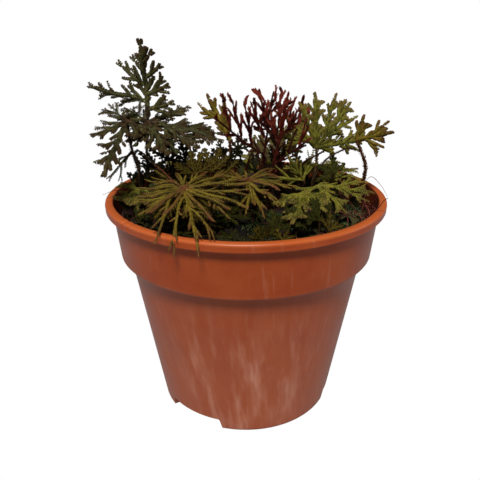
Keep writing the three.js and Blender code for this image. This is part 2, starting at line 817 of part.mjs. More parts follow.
    sheets: [
      {
        at: [-28, 27, 100], along: [-0.6, 1, 0], face: [0, 0, 1], curl: 0.007, curlBack: -0.03,
        half: 1, lobe: 5,
        ribs: [rib(0, 24), rib(62, 22), rib(124, 17), rib(180, 16), rib(-120, 16), rib(-60, 23)],
      },
    ],
  },
  {
    name: 'back_spray',
    colour: 0x5a6a31,
    stalks: [{ foot: [3, 28], via: [] }],
    sheets: [
      {
        at: [3, 34, 101], along: [0, 1, 0], face: [0, 0, 1], curl: 0.008, brink: 24, hang: 0.12,
        half: 1, lobe: 5,
        ribs: [rib(4, 30), rib(60, 18), rib(120, 15), rib(178, 14), rib(-118, 15), rib(-58, 18)],
      },
    ],
  },
  {
    name: 'back_fan',
    colour: 0x62702f,
    stalks: [{ foot: [19, 19], via: [[17, 21, 98]] }],
    sheets: [
      {
        at: [15, 23, 105], along: [-0.2, 0.5, 1], face: [0.3, 1, -0.3], curl: -0.01, half: 1, lobe: 5,
        ribs: [rib(4, 19, [7, rib(30, 10)]), rib(58, 16), rib(-52, 17, [7, rib(-28, 10)])],
      },
    ],
  },
  {
    name: 'back_right_spray',
    colour: 0x5f6f33,
    stalks: [{ foot: [32, 22], via: [] }],
    sheets: [
      {
        at: [34, 27, 100], along: [0.7, 1, 0], face: [0, 0, 1], curl: 0.007, curlBack: -0.02,
        half: 1, lobe: 5,
        ribs: [rib(0, 22), rib(62, 20), rib(124, 15), rib(180, 16), rib(-120, 15), rib(-60, 19)],
      },
    ],
  },
];

function makePlant(plant) {
  const stalks = plant.curves.map((curve) => solidOf(stalkGeometry(curve, plant.radius)));
  const blades = plant.trees.map((tree) => solidOf(bladeGeometry(tree)));
  return [...stalks, ...blades].reduce((sum, solid) => sum.add(solid));
}

const model = new THREE.Group();

function addPiece(name, solid, colour, roughness) {
  const material = new THREE.MeshStandardMaterial({ color: colour, roughness, metalness: 0 });
  const mesh = new THREE.Mesh(geometryOf(solid), material);
  mesh.name = name;
  model.add(mesh);
}

// All stalks grow first, then all main ribs, and the lobes take the room that is left

for (const plant of PLANTS) {
  plant.radius = plant.radius ?? STALK_RADIUS;
  plant.surfaces = plant.sheets.map(makeSheet);
  plant.curves = plant.stalks.map((stalk) => stalkCurve(stalk, plant.surfaces));
  for (const curve of plant.curves) growStalk(curve, plant.radius, plant.name);
}
for (const plant of PLANTS) {
  plant.trees = plant.sheets.map((sheet, i) => {
    const tree = newTree(plant.surfaces[i], sheet.half, plant.name);
    for (const one of sheet.ribs) growRib(tree, 0, one, one.turn, sheet.half);
    return tree;
  });
}
for (const plant of PLANTS) {
  plant.sheets.forEach((sheet, i) => growLobes(plant.trees[i], sheet.lobe));
}

addPiece('pot', makePot(), 0xb5532e, 0.45);
const feet = PLANTS.flatMap((plant) => plant.stalks.map(({ foot }) => [...foot, plant.radius]));
addPiece('soil', makeSoil(feet), 0x231a14, 1);
for (const plant of PLANTS) addPiece(plant.name, makePlant(plant), plant.colour, 0.6);

export default model;
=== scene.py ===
# The looks of a potted sanguinea spikemoss: its moulded pot, its compost with moss and roots, and its
# sprays, whose ribs carry four ranks of small scale leaves.
# The plants grow by the rule that shaped the frame's solids. Their code counts in millimetres, from the
# pot's foot up, and MM turns that into metres. Lengths in materials and lights are in metres.

import math

import bmesh
import bpy
import numpy as np
from mathutils import Matrix, Vector


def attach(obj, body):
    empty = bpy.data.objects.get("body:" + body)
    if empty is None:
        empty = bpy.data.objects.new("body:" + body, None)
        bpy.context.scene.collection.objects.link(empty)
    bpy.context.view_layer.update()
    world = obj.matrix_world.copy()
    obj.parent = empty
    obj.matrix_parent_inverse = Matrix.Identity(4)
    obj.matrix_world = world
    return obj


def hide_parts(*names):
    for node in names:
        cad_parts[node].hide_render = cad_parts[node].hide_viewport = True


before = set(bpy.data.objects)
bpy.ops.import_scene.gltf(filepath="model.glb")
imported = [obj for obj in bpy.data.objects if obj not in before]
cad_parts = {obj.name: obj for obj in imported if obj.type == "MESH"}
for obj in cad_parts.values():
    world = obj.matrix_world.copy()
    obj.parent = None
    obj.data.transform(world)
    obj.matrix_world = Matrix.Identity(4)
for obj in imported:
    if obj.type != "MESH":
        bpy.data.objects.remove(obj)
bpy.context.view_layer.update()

MM = 0.001
DEGREE = math.pi / 180

# Pot
POT_HEIGHT = 96
RIM_RADIUS = 60
LIP_HEIGHT = 3.6
LIP_ROUND = 1.2
MOUTH_RADIUS = 56.7
COLLAR_TOP_RADIUS = 57.1
COLLAR_BOTTOM_RADIUS = 55
COLLAR_BOTTOM = 71.7
STEP_HEIGHT = 2.4
STEP_ROUND = 0.7
BODY_TOP_RADIUS = 51
FOOT_RADIUS = 39.2
FOOT_HEIGHT = 5
FOOT_WALL = 2.4
FOOT_OUTSIDE = 1
WALL = 1
FLOOR = 1.1
FOOT_GAPS = (-36, 84, 204)
FOOT_GAP_ANGLE = 40
GAP_SLOPE = 1.6
DRAIN_HOLES = 6
DRAIN_HOLE_RADIUS = 4
DRAIN_CIRCLE = 27
DRILL_PASS = 2
DRILL_SIDES = 32
POT_STEPS = 240
FINE_ANGLES = np.arange(-3, 3.01, 0.3)
CREASE_ANGLES = 0.7
MERGE_DISTANCE = 0.004
POT_CREASE = 38
# Rings of points: heights on the body, one inside the wall, and shares of the collar's height
BODY_RINGS = (0.5, 1.5, 3, 4, 5, 6.5, 10, 25, 45, 60)
MIDDLE_RING = 40
COLLAR_RINGS = (0.04, 0.3, 0.6, 0.9)
# Creases in the rim: direction from the front in degrees, depth and width in millimetres
CREASES = ((-79.3, 0.7, 0.7), (-50.5, 0.45, 0.6), (-46.5, 0.3, 0.5))
CREASE_DROP = 0.6
CREASE_BELOW_LIP = 1

# Compost
FIT_GAP = 0.35
SOIL_LEVEL = 86
MOUND_HEIGHT = 2.2
SOIL_WAVE = dict(height=0.7, x=0.21, y=0.19, shift=1)
SOIL_RIPPLE = dict(height=0.5, x=0.13, y=0.33)

# Stalks and blades
STALK_RADIUS = 0.8
STALK_SAMPLE = 1.2
HOLE_DEPTH = 9
FOOT_LIFT = 1
COLLAR_LIFT = 0.5
BLADE = 0.7
RIPPLE_RATE = 0.35
RIPPLE_SWING = 2
RIPPLE_START = 12
RIPPLE_TURNS = 3
NO_CURL = 1e-6
NORMAL_STEP = 0.05
RIB_STEP = 3.3
RIB_EASE = 0.5
BRANCH_TURN = 36
BRANCH_WIDTH = 0.86
LOBE_TURN = 42
LOBE_BEND = 12
LOBE_WIDTH = 0.84
LOBE_FADE = 0.55
LOBE_TRIM = 0.9
SHORTEST_LOBE = 3.4
FORKED_LOBE = 6.4
FORKED_LOBE_FOOT = 0.55
FORKED_LOBE_TURN = 48
FORKED_LOBE_WIDTHS = (0.95, 0.85)
TIP_LOBE = 2.6
TIP_TURN = 24
TIP_WIDTH = 0.8
STALK = -1
NO_EDGE = -1
SHEET_WORDS = ("at", "along", "face", "curl", "curl_back", "ripple", "brink", "hang")

# Room kept between blades
SAMPLES = 3
SIDE_CLEARANCE = 0.45
FACE_CLEARANCE = 0.45
FOOT_ZONE = 9
SOIL_CLEARANCE = 1.2
RIM_CLEARANCE = 0.9
RIM_ZONE = (54.1, 61.2)
WALL_ZONE = 51
SOIL_ZONE = 54

# Fine lobes between the solid ones
FINE_SEED = 5
FINE_FIRST_LOBE = 2.0
FINE_FADE = 0.4
FINE_REACHES = (0.85, 1.1)
FINE_SHORTEST = 2.6
FINE_TRIM = 0.5
FINE_FIRST = 1.1
FINE_SAMPLE = 0.7
FINE_FOOT = 1.5
FINE_FACING = 0.8
FINE_SWAY = 3
TIP_BARE = 3.5
FORK_SHORTEST = 1.9
FORK_PLACES = (0.45, 0.68)
FORK_TURN = 27
FORK_WIDTH = 0.9
FORK_REACH = 0.5

# Solid lobes, when they are dressed, lean forward and are longer
LOBE_CLOSE = 9
FORK_CLOSE = 16
LOBE_STRETCH = 1.12

# A dressed line starts at the plant's foot or a little out from the line that it grows on, which carries it
AT_FOOT = 0.1
LEAF_START = 0.7
SHIFT_STEP = 0.3
PARENT_REACH = 1.0
STRAIGHT_SHARES = np.linspace(0, 1, 4)[:, None]
OLDEST = 0.8
BARE_BASE = 5.0
BARE_SHARE = 0.8
LINE_SHADES = (-0.2, 0.4)
# Half width of a line as a share of the full one: the first number, and the second for each mm of its length
SHORT_LINE = (0.8, 0.05)

# Side leaves
LEAF_CREASE = 50
LEAF_INSET = 0.2
LEAF_SWAY = 0.08
LEAF_LENGTHS = (0.92, 1.12)
LEAF_RISES = (-0.04, 0.08)
DROOP_SWAY = 0.07
ROLL_SWAY = 0.12
TIP_CLOSE_REACH = 2.2
RIPE_REACH = 6
RIB_TAPER = 0.6
TUBE_ALONG = 0.3

# Upper leaves, and the three leaves of a tip
TOP_LIFT = 0.24
TOP_INSET = 0.12
TOP_SHARE = 0.62
TOP_SIZES = (0.9, 1.15)
TOP_ROLL = 0.35
TUFT_TURNS = np.array([-10, 1, 11]) * DEGREE
TUFT_SIZES = np.array([0.74, 0.95, 0.72])
TUFT_LEAST = 0.3
TUFT_MOST = 0.6
TUFT_WIDTH = 0.6
TUFT_BACK = 0.3

# Toothed strips, which small sprays are made of
STRIP_STEP = 0.9
STRIP_TOOTH = 0.72
STRIP_TIP = 0.35
STRIP_RIDGE = 0.22
STRIP_UNDER = 0.12
# Painted shade: a strip's tone is lowered by this much, so small sprays and backings show dark as if in
# shadow
STRIP_PAINTED_SHADE = 1.6
STRIP_WIDTHS = (0.85, 1.12)
# How far along and how far across a leaf each point of a strip's ring counts as
STRIP_LEAF = ((0.7, 1), (0.3, 0), (0.7, 1), (0.4, 0.3))

# Stalks and their scales
STALK_RING = 2.5
STALK_SWAY = 0.45
STALK_FACE = np.array([0.3, -0.9, 0.2])
LONG_STALK = 30
STEM_SHARE = 0.72
THICK_STALK = 0.9
SCALE_RANKS = 4
SCALE_STEP = 1.15
SCALE_LENGTH = 1.5
SCALE_LENGTHS = (0.8, 1.2)
SCALE_WIDTH = 0.62
SCALE_ANGLE = 34
SCALE_LEAN_SWAY = 7
SCALE_TURN_SWAY = 14
SCALE_INSET = 0.8
SCALE_WOODY = 0.85

# Single rays over a sheet
RAY_SHARES = np.linspace(0.08, 1, 8)[:, None]
RAY_SWAY = 7
RAY_BEND = 14
RAY_REACHES = (0.75, 1)
RAY_RISES = (0.8, 2.6)
RAY_CRESTS = (0.5, 0.9)
RAY_HALF = 0.95
RAY_SHADES = (-0.1, 0.9)
RAY_AGES = (0.1, 0.6)

# Curled fingers on red sprays
FINGER_SHARE = 0.6
FINGER_HEIGHTS = (121, 139)
FINGER_HALF = (0.5, 0.8)
FINGER_AGES = (0.15, 0.9)
FINGER_CURL = 0.28
FINGER_SPREAD = 0.35
FINGER_ROLL = 0.4
FINGER_PULL = 0.1
FINGER_STEPS = 6

# A layer of painted shade under a sheet: dark strips that fill the gaps between its lobes as shadow would
BACKING_DEPTH = 2.2
BACKING_TURN = 13
BACKING_SHARE = 0.88

# How each kind of spray looks. Angle is the side leaves' turn from their rib, and width is their share
# of the length. A positive bend lifts a branch out of its sheet. The fine lobes have their turn from the
# rib, the distance between them, their reach and width as shares of the solid ones, and the lengths from
# which they carry a first and a second fork. Base is a foot's thickness as a share of its rib's, and how
# woody it is.
NEVER = 99
GREEN = dict(
    forked_tips=False, overlap=1.2, reach=1.28, tube=0.3, rib=0.05, base=(0.4, 0.3),
    angle=43, step=0.8, width=0.78, droop=0.5, roll=0.12, top_angle=12, top_lift=0.05,
    tip_close=0.45, blunt=0.6, taper=1.5, bend=-0.002, bend_spread=0.008,
    age=0.08, age_rate=0.005, ripen=0.45, stalk_age=0.2, small_half=0.8,
    lobe_turn=29, lobe_step=1.7, lobe_reach=1.6, lobe_width=0.86, forks=(3.4, 5.0),
)
DARK = GREEN | dict(
    forked_tips=True, overlap=1.0, reach=1.25, rib=0.1, base=(0.62, 1.0),
    angle=44, width=0.75, bend=0.003, age=0.12, age_rate=0.006, ripen=0.5, small_half=0.6,
    lobe_turn=32, lobe_step=2.2, lobe_reach=1.5, lobe_width=0.84, forks=(3.6, 5.2),
)
RAYS = GREEN | dict(
    overlap=0.3, reach=0.97, tube=0.35, rib=0.0, base=(0.62, 1.0),
    angle=32, width=0.5, droop=0.55, roll=0.2, top_angle=8, blunt=0.3, taper=3.5,
    bend=-0.003, bend_spread=0.006, age_rate=0.008, ripen=0.5,
    lobe_turn=14, lobe_step=4.8, lobe_reach=2.1, lobe_width=0.85, forks=(NEVER, NEVER),
)
RED = RAYS | dict(
    fingers=(3, 5.5), bare=14, reach=0.92, tube=0.62, rib=0.85,
    angle=17, step=0.85, droop=-0.2, roll=-0.4, top_lift=0.08, taper=4.0,
    bend=0.005, bend_spread=0.014, age=0.2, ripen=0.4, stalk_age=0.3, small_half=0.6,
    lobe_turn=15, lobe_step=4.2, lobe_reach=1.9,
)
LOOKS = dict(
    green=GREEN,
    dark=DARK,
    rays=RAYS,
    red=RED,
    fern=GREEN | dict(overlap=0.35, reach=0.98, lobe_step=2.4),
    fan=GREEN | dict(
        overlap=0.6, reach=1.2, angle=32, step=0.65, blunt=0.75, taper=1.0, tip_close=0.7, lobe_step=2.2,
    ),
    twig=DARK | dict(reach=0.9, tube=0.5, angle=25, width=0.5, lobe_step=NEVER),
    sprig=GREEN | dict(overlap=0.6, reach=1.4, lobe_step=3.2, lobe_reach=1.4, forks=(NEVER, NEVER)),
)

# Compost's top and its crumbs
SOIL_RINGS = 60
SOIL_STEPS = 150
# Rate and height of each wave of the grain, how much its rows bend and at which rate
SOIL_GRAIN = ((0.9, 0.35), (2.1, 0.22), (4.3, 0.1))
GRAIN_BENDS = (1.7, 1.3)
GRAIN_BEND_RATES = (0.6, 0.7)
GRAIN_STRETCH = 1.13
SOIL_DEPTH = 3
SOIL_INSET = 0.15
SOIL_ROUND = 1.6
EDGE_WIDTH = 4
EDGE_STEP = 1.2
EDGE_RISE = 0.5
CRUMBS = 1500
CRUMB_SEED = 11
CRUMB_REACH = 53
CRUMB_SIZES = (0.25, 2.1)
CRUMB_SHAPE = 2.2
CRUMB_SCALE = 0.32
CRUMB_LIFT = 0.15
CRUMB_BUMPS = (0.65, 1.25)
CRUMB_SIDES = (0.6, 1.3)
CRUMB_SQUASH = (1, 1, 0.75)

# Moss
MOSS_SEED = 12
MOSS_REACH = 51
MOSS_EDGE = 53.4
MOSS_CUSHIONS = 46
MOSS_LEAVES = 6000
MOSS_SPREAD = 3.2
MOSS_CROWN = 1.2
MOSS_CROWN_SPREAD = 22
MOSS_LEANS = (0.15, 1.0)
MOSS_SIZES = (1.1, 2.4)
MOSS_WIDTH = 0.38

# Roots: how many at the wall and how many on the compost, with their lengths
ROOT_SEED = 13
WALL_ROOTS = 60
WALL_ROOT_RADIUS = 53.5
WALL_ROOT_HEIGHTS = (86.5, 88.5)
WALL_ROOT_TURNS = (40, 125)
WALL_ROOT_LENGTHS = (9, 22)
WALL_ROOT_RISES = (-0.1, 0.9)
WALL_ROOT_SWAY = 0.22
WALL_ROOT_PULL = -0.04
SOIL_ROOTS = 110
SOIL_ROOT_LENGTHS = (6, 16)
SOIL_ROOT_RISES = (0, 0.6)
SOIL_ROOT_SWAY = 0.3
SOIL_ROOT_PULL = -0.05
SOIL_ROOT_REACH = 51
ROOT_FACE = np.array([[0.21, 0.34, 0.92]])
ROOT_TIP = 0.45
# Radius and age of each kind of root
WALL_THREAD = (0.34, 0.5)
SOIL_THREAD = (0.2, 0.3)
STRAY_THREAD = (0.17, 0.2)
ROOT_WALL_GAP = 1.6
ROOT_OVER_RIM = 0.5
SOIL_LIFT = 0.3
# Single threads that stick out: over the right rim, over the left rim, and one by the left stalks
STRAYS = (
    [(49.5, 13, 86), (52, 12, 93), (56, 9, 100.5), (59.5, 4, 98), (61, -3, 95)],
    [(-46, 0, 86), (-50, -2, 95.5), (-55, -6, 98.6), (-59.5, -12, 98.5)],
    [(-41, -23, 86), (-44, -26.5, 94.5), (-47, -31, 97.4), (-46, -36, 96.9)],
)

# Undergrowth: how many low sprays of each kind are strewn over the compost
PLANT_SEED = 100
UNDERGROWTH_SEED = 60
UNDERGROWTH = dict(green=18, dark=14, yellow=5, red=0)
UNDER_REACH = 48
UNDER_GAP = 9
UNDER_HALF = 0.8
UNDER_LIFTS = (2, 5.5)
UNDER_LEANS = (-0.5, 0.1)
UNDER_REACHES = (6, 10)
FLAT_TURNS = np.arange(0, 360, 60)
FLAT_TURN_SWAY = 12
FLAT_RISE = 0.2
FLAT_SWAYS = (0.2, 0.15)
STANDING_TURNS = np.array([-95, -50, -10, 28, 72])
STANDING_TURN_SWAY = 9
STANDING_SWAYS = (0.25, 0.2)
SMALL_CURL = 0.02
SMALL_RIPPLE = 0.3
SMALL_STEP = 2
SMALL_BEND = 12
SMALL_REACHES = (0.75, 1.1)
SMALL_START = 0.3
SMALL_WALL_GAP = 2.2
SMALL_OVER_RIM = 1
SMALL_STEM = 0.55
SMALL_STEM_LEAST = 4
SMALL_STEM_SINK = 1
SMALL_STEM_LEAN = 0.12
SMALL_STEM_BOW = 0.06
SMALL_LOBE_TURN = 36
SMALL_LOBE_SWAY = 5
SMALL_LOBE_WIDTH = 0.8
SMALL_LOBE_LENGTHS = (0.42, 0.24)
SMALL_LOBE_REACHES = (0.7, 1.1)
ARCH_STEM = 0.48
# A lower layer of rays below the rosette: place, direction of its middle, upper side
LOWER_RAYS = ((-23.8, -28.5, 103), (0, -1, -0.1), (0, -0.1, 1))
LOWER_RAY_STEP = 20
LOWER_RAY_SWAY = 4
LOWER_RAY_REACH = 19
LOWER_RAY_HALF = 0.75
BACK_STEP = 9
BACK_FACE = 0.5
BACK_TURN = 78
BACK_KINDS = ("green", "dark", "dark", "green", "yellow")
BACK_RADII = (45, 50)
BACK_LIFT = (1, 3, 2)
BACK_REACH = (8, 7, 9)
# Small sprays by kind: place, reach, and the way that they face
SMALL_SPRAYS = dict(
    green=[
        ((-50, -12, 92.5), 8, (0.3, -0.5, 1)), ((-44.6, -20, 92), 9, (0, -0.6, 1)),
        ((-39, -14, 96), 9, (0, -0.6, 1)), ((7.9, -44, 93), 5, (0, -0.5, 1)),
        ((36, -12, 108), 8, (0, -1, 0.5)), ((24, 2, 103), 10, (0, -1, 0.6)),
        ((-3, -6, 100), 9, (0, -0.8, 0.8)), ((10, -2, 100), 8, (0, -0.8, 0.8)),
        ((19, -37, 94), 8, (0, -0.6, 1)), ((28, -33, 95), 9, (0, -0.6, 1)),
        ((12, -36, 93), 7, (0, -0.6, 1)),
    ],
    dark=[
        ((-33.3, 2, 110), 11, (0, -1, 0.5)), ((-39.4, 4, 106), 9, (-0.2, -1, 0.4)),
        ((-26.8, 8, 108), 10, (0.2, -1, 0.5)), ((-24, -2, 103), 10, (0, -0.8, 0.8)),
        ((-44, 0, 102), 7, (0, -1, 0.3)), ((-34, -4, 101), 9, (0, -1, 0.5)),
        ((-8, 12, 108), 9, (0, -1, 0.4)), ((-3.6, 14, 112), 8, (0, -1, 0.4)),
        ((-12, 8, 104), 9, (0, -1, 0.6)), ((4, 10, 103), 9, (0, -1, 0.5)),
        ((14, 12, 104), 9, (0, -1, 0.5)), ((-50, 4, 100), 6, (-0.2, -1, 0.3)),
    ],
    yellow=[
        ((5.3, -47, 93), 6, (0, -0.5, 1)), ((13.1, -47, 92.5), 6, (0, -0.5, 1)),
        ((31.1, -38, 93), 6, (0, -0.5, 1)), ((-20.3, -16, 108.5), 11, (0, -1, 0.5)),
        ((-14, -12, 108.5), 10, (0, -1, 0.5)), ((-9, -9, 107), 8, (0, -1, 0.6)),
    ],
    red=[((2.5, -8, 101), 6, (0, -1, 0.5)), ((14, 4, 103), 6, (0, -1, 0.3))],
)
# Bent stems by kind, as points that they pass through
ARCHING_STEMS = dict(
    red=[
        [(-3, -3, 96), (-0.8, -4, 110), (3.7, -4, 116), (6.4, -4, 109), (7, -4, 98)],
        [(1, 2, 97), (1.7, 2, 109), (7.3, 2, 113), (9.5, 2, 106)],
        [(10, -2, 98), (21, -6, 109), (32, -8, 116)],
    ],
    dark=[[(-47.8, 2.5, 112), (-45.2, -3, 114.9), (-40.1, -9, 113.7), (-35, -17, 111.2)]],
    yellow=[[(-36.5, -15, 111.9), (-30.5, -22.5, 109.2), (-25.2, -28, 107)]],
    green=[[(27, -12, 104), (32, -12, 113.5), (40, -12, 118.2), (44, -10, 117.5)]],
)

# Leaf colours. A share is how much of its colour shows where it is strongest.
PATCH_SCALE = 130.0
SPECK_SCALE = 700.0
LEAF_GRAIN = 2600.0
LEAF_BUMP = (0.25, 0.0002)
UNDER_SHARE = 0.85
# The edge colour darkens leaf margins and tips: partly their own colour, partly painted shade between the
# leaves
TINTS = dict(
    dark=dict(
        deep=(0.012, 0.012, 0.003), fresh=(0.118, 0.110, 0.036), edge=(0.012, 0.006, 0.002), edge_and_shade_share=0.85,
        rib=(0.240, 0.235, 0.100), rib_share=0.6, tip=(0.042, 0.015, 0.006), tip_share=0.6,
        under=(0.060, 0.030, 0.016), stem=(0.020, 0.012, 0.007), stem_light=(0.055, 0.032, 0.016),
    ),
    green=dict(
        deep=(0.022, 0.030, 0.004), fresh=(0.185, 0.170, 0.018), edge=(0.036, 0.014, 0.004), edge_and_shade_share=0.7,
        rib=(0.360, 0.330, 0.055), rib_share=0.6, tip=(0.150, 0.075, 0.028), tip_share=0.6,
        under=(0.105, 0.080, 0.032), stem=(0.040, 0.020, 0.010), stem_light=(0.120, 0.070, 0.030),
    ),
    yellow=dict(
        deep=(0.022, 0.018, 0.002), fresh=(0.180, 0.132, 0.013), edge=(0.030, 0.007, 0.003), edge_and_shade_share=0.85,
        rib=(0.420, 0.310, 0.050), rib_share=0.65, tip=(0.110, 0.032, 0.018), tip_share=0.75,
        under=(0.120, 0.070, 0.030), stem=(0.060, 0.018, 0.008), stem_light=(0.140, 0.052, 0.020),
    ),
    red=dict(
        deep=(0.014, 0.003, 0.002), fresh=(0.085, 0.009, 0.004), edge=(0.040, 0.006, 0.004), edge_and_shade_share=0.45,
        rib=(0.200, 0.040, 0.020), rib_share=0.3, tip=(0.240, 0.045, 0.028), tip_share=0.5,
        under=(0.200, 0.034, 0.030), stem=(0.016, 0.004, 0.003), stem_light=(0.050, 0.011, 0.006),
    ),
)
MOSS_TINT = dict(
    deep=(0.006, 0.014, 0.005), fresh=(0.045, 0.075, 0.027), edge=(0.040, 0.050, 0.014), edge_and_shade_share=0.3,
    rib=(0.070, 0.090, 0.020), rib_share=0.3, tip=(0.100, 0.100, 0.030), tip_share=0.4,
    under=(0.030, 0.040, 0.014), stem=(0.040, 0.020, 0.010), stem_light=(0.080, 0.050, 0.020),
)
ROOT_DEEP = (0.080, 0.022, 0.015)
ROOT_FRESH = (0.160, 0.050, 0.030)
ROOT_TINT = dict(
    deep=ROOT_DEEP, fresh=ROOT_FRESH, edge=ROOT_DEEP, edge_and_shade_share=0.2, rib=ROOT_FRESH, rib_share=0.2,
    tip=ROOT_FRESH, tip_share=0.3, under=ROOT_DEEP,
    stem=(0.050, 0.013, 0.010), stem_light=(0.150, 0.042, 0.028),
)

# Undergrowth is painted this much darker than the sprays above it: painted shade, as if those sprays shadowed
# it
UNDERGROWTH_PAINTED_SHADES = dict(dark=0.6, green=0.58, yellow=0.15, red=0.4)
PAINTED_SHADE_TINT = (0.006, 0.005, 0.002)

# Pot and compost colours
POT_DEEP = (0.262, 0.038, 0.005)
POT_BRIGHT = (0.305, 0.054, 0.010)
# Painted highlight: the rim's top is lighter, as light from above makes it
POT_RIM_LIGHT = (0.540, 0.125, 0.030)
# Painted shade: the colour that the inside of the wall is darkened towards
POT_INNER_SHADE = (0.052, 0.011, 0.005)
POT_SCUFF = (0.560, 0.280, 0.190)
# The middle of the collar's wall is this far out at height 0, and widens by this share of the height
WALL_MIDDLE = 0.0472
WALL_SLOPE = 0.1014
# Streaks run down the pot and turn about it by this many radians for each metre of height
STREAK_TWIST = 1.6
# The share of the height that counts for broad streaks, thin ones and patches, which draws them out
STREAK_DRAWS = (0.07, 0.05, 0.35)
# Scales of the pot's broad streaks, thin ones and patches, then of its mottle and grain
STREAK_SCALES = (170.0, 420.0, 26.0)
MOTTLE_SCALE = 60.0
POT_GRAIN = 1500.0
POT_BUMP = (0.08, 0.0003)
MOST_SCUFF = 0.75
# How far to the front the scuffs start and are full
SCUFF_FRONT = (0.026, 0.044)
# Heights between which scuffs grow downwards, their veil grows downwards, they end below the collar,
# the painted shade inside the wall starts, and the rim is painted lighter as a painted highlight
SCUFF_LOW = (0.068, 0.03)
VEIL_LOW = (0.07, 0.035)
SCUFF_TOP = (0.0745, 0.0715)
INNER_SHADE_FOOT = (0.0745, 0.0755)
RIM_LIGHT_HEIGHTS = (0.0943, 0.0957)
SOIL_SCALES = (240.0, 1100.0)
SOIL_BUMP = (0.7, 0.0008)
SOIL_DARK = (0.004, 0.0025, 0.002)
SOIL_LIGHT = (0.018, 0.010, 0.006)
SOIL_FLECK = (0.060, 0.034, 0.018)

# Picture: a camera in front of the pot, looking down at it. The key light is a sun, given by its place,
# strength and softness in degrees. The side lamps are given by place, size and watts.
WHITE = (1, 1, 1, 1)
PICTURE = 480
SENSOR = 36.0
FOCAL_PIXELS = 549.0
PIXELS_RIGHT = 6.0
NEAREST = 0.02
CAMERA_PLACE = (0, -0.230, 0.166)
CAMERA_PITCH = 21.9
KEY_LIGHT = ((-0.14, -1.15, 1.65), 4.2, 14.0)
LEFT_LIGHT = ((-0.9, 0.1, 0.35), 0.5, 0.85)
RIGHT_LIGHT = ((0.9, 0.1, 0.35), 0.5, 1.5)
LAMP_TARGET = (0, 0, 0.08)
LAMP_GLOSS = 0.3
SIDE_COLOUR = (1.0, 0.86, 0.72)
SKY_LIGHT = 0.05
FLOOR_REACH = 12.0
FLOOR_SIDES = 96
FLOOR_BOUNCE = (0.38, 0.38, 0.38)


def unit(vector):
    return vector / np.linalg.norm(vector, axis=-1, keepdims=True)


def square_to(upper, ahead):
    """The direction nearest to upper that is square to ahead."""
    return unit(upper - (upper * ahead).sum(axis=-1, keepdims=True) * ahead)


def directions(line):
    """The way that a line runs at each of its points."""
    return unit(np.gradient(line, axis=0))


def lengths_of(points):
    """How far along the line each of its points is."""
    steps = np.linalg.norm(np.diff(points, axis=0), axis=1)
    return np.concatenate([[0], np.cumsum(steps)])


def read_along(values, lengths, where):
    """The values at a line's points, read at those distances along it."""
    return np.stack([np.interp(where, lengths, column) for column in values.T], axis=-1)


def at_lengths(points, where):
    return read_along(points, lengths_of(points), where)


def smooth_line(knots, steps=40):
    """A centripetal Catmull-Rom curve through the knots."""
    ends = [2 * knots[0] - knots[1], 2 * knots[-1] - knots[-2]]
    points = np.vstack([ends[0], knots, ends[1]])
    gaps = np.linalg.norm(np.diff(points, axis=0), axis=1) ** 0.5
    line = [knots[0]]
    for i in range(1, len(points) - 2):
        x0, x1, x2, x3 = points[i - 1: i + 3]
        d0, d1, d2 = gaps[i - 1: i + 2]
        t1 = ((x1 - x0) / d0 - (x2 - x0) / (d0 + d1) + (x2 - x1) / d1) * d1
        t2 = ((x2 - x1) / d1 - (x3 - x1) / (d1 + d2) + (x3 - x2) / d2) * d1
        for step in range(1, steps + 1):
            t = step / steps
            cubic = 2 * x1 - 2 * x2 + t1 + t2
            square = -3 * x1 + 3 * x2 - 2 * t1 - t2
            line.append(((cubic * t + square) * t + t1) * t + x1)
    return np.array(line)


def soil_height(x, y):
    radius = np.hypot(x, y) / COLLAR_BOTTOM_RADIUS
    mound = MOUND_HEIGHT * (1 - radius * radius)
    wave = SOIL_WAVE["height"] * np.sin(SOIL_WAVE["x"] * x + SOIL_WAVE["shift"]) * np.cos(SOIL_WAVE["y"] * y)
    ripple = SOIL_RIPPLE["height"] * np.sin(SOIL_RIPPLE["x"] * x + SOIL_RIPPLE["y"] * y)
    return SOIL_LEVEL + mound + wave + ripple


class Sheet:
    """The curved surface that a blade lies in. Its flat plan has its middle rib along +p. It bends away
    from its upper face by curl ahead and by curl_back behind, in radians per mm, and past the brink its
    ribs hang down more and more steeply."""

    def __init__(self, at, along, face, curl, curl_back=None, ripple=0.5, brink=99, hang=0):
        face = np.array(face, float)
        self.origin = np.array(at, float)
        self.middle = unit(np.array(along, float))
        self.upper = unit(face - face.dot(self.middle) * self.middle)
        self.side = np.cross(self.upper, self.middle)
        self.curl = curl
        self.curl_back = curl if curl_back is None else curl_back
        self.ripple = ripple
        self.brink = brink
        self.hang = hang

    def place(self, p, q):
        p = np.asarray(p, float)[..., None]
        q = np.asarray(q, float)[..., None]
        reach = np.hypot(p, q)
        angle = np.arctan2(q, p)
        ahead = (1 + np.cos(angle)) / 2
        rate = self.curl_back + (self.curl - self.curl_back) * ahead
        flat = np.abs(rate * reach) < NO_CURL
        safe = np.where(flat, 1.0, rate)
        out = np.where(flat, reach, np.sin(rate * reach) / safe)
        down = np.where(flat, 0.0, (1 - np.cos(rate * reach)) / safe)
        swing = RIPPLE_RATE * reach + RIPPLE_SWING * np.sin(RIPPLE_TURNS * angle)
        wave = self.ripple * np.sin(swing) * np.minimum(1, reach / RIPPLE_START)
        drop = self.hang * np.maximum(0, reach - self.brink) ** 2
        flat_part = self.middle * out * np.cos(angle) + self.side * out * np.sin(angle)
        return self.origin + flat_part + self.upper * (wave - down - drop)

    def normal(self, p, q):
        along_p = self.place(p + NORMAL_STEP, q) - self.place(p - NORMAL_STEP, q)
        along_q = self.place(p, q + NORMAL_STEP) - self.place(p, q - NORMAL_STEP)
        return unit(np.cross(along_p, along_q))

    def lay(self, plan):
        """The points of a plan on the sheet, and the sheet's upper side at each."""
        return self.place(plan[:, 0], plan[:, 1]), self.normal(plan[:, 0], plan[:, 1])


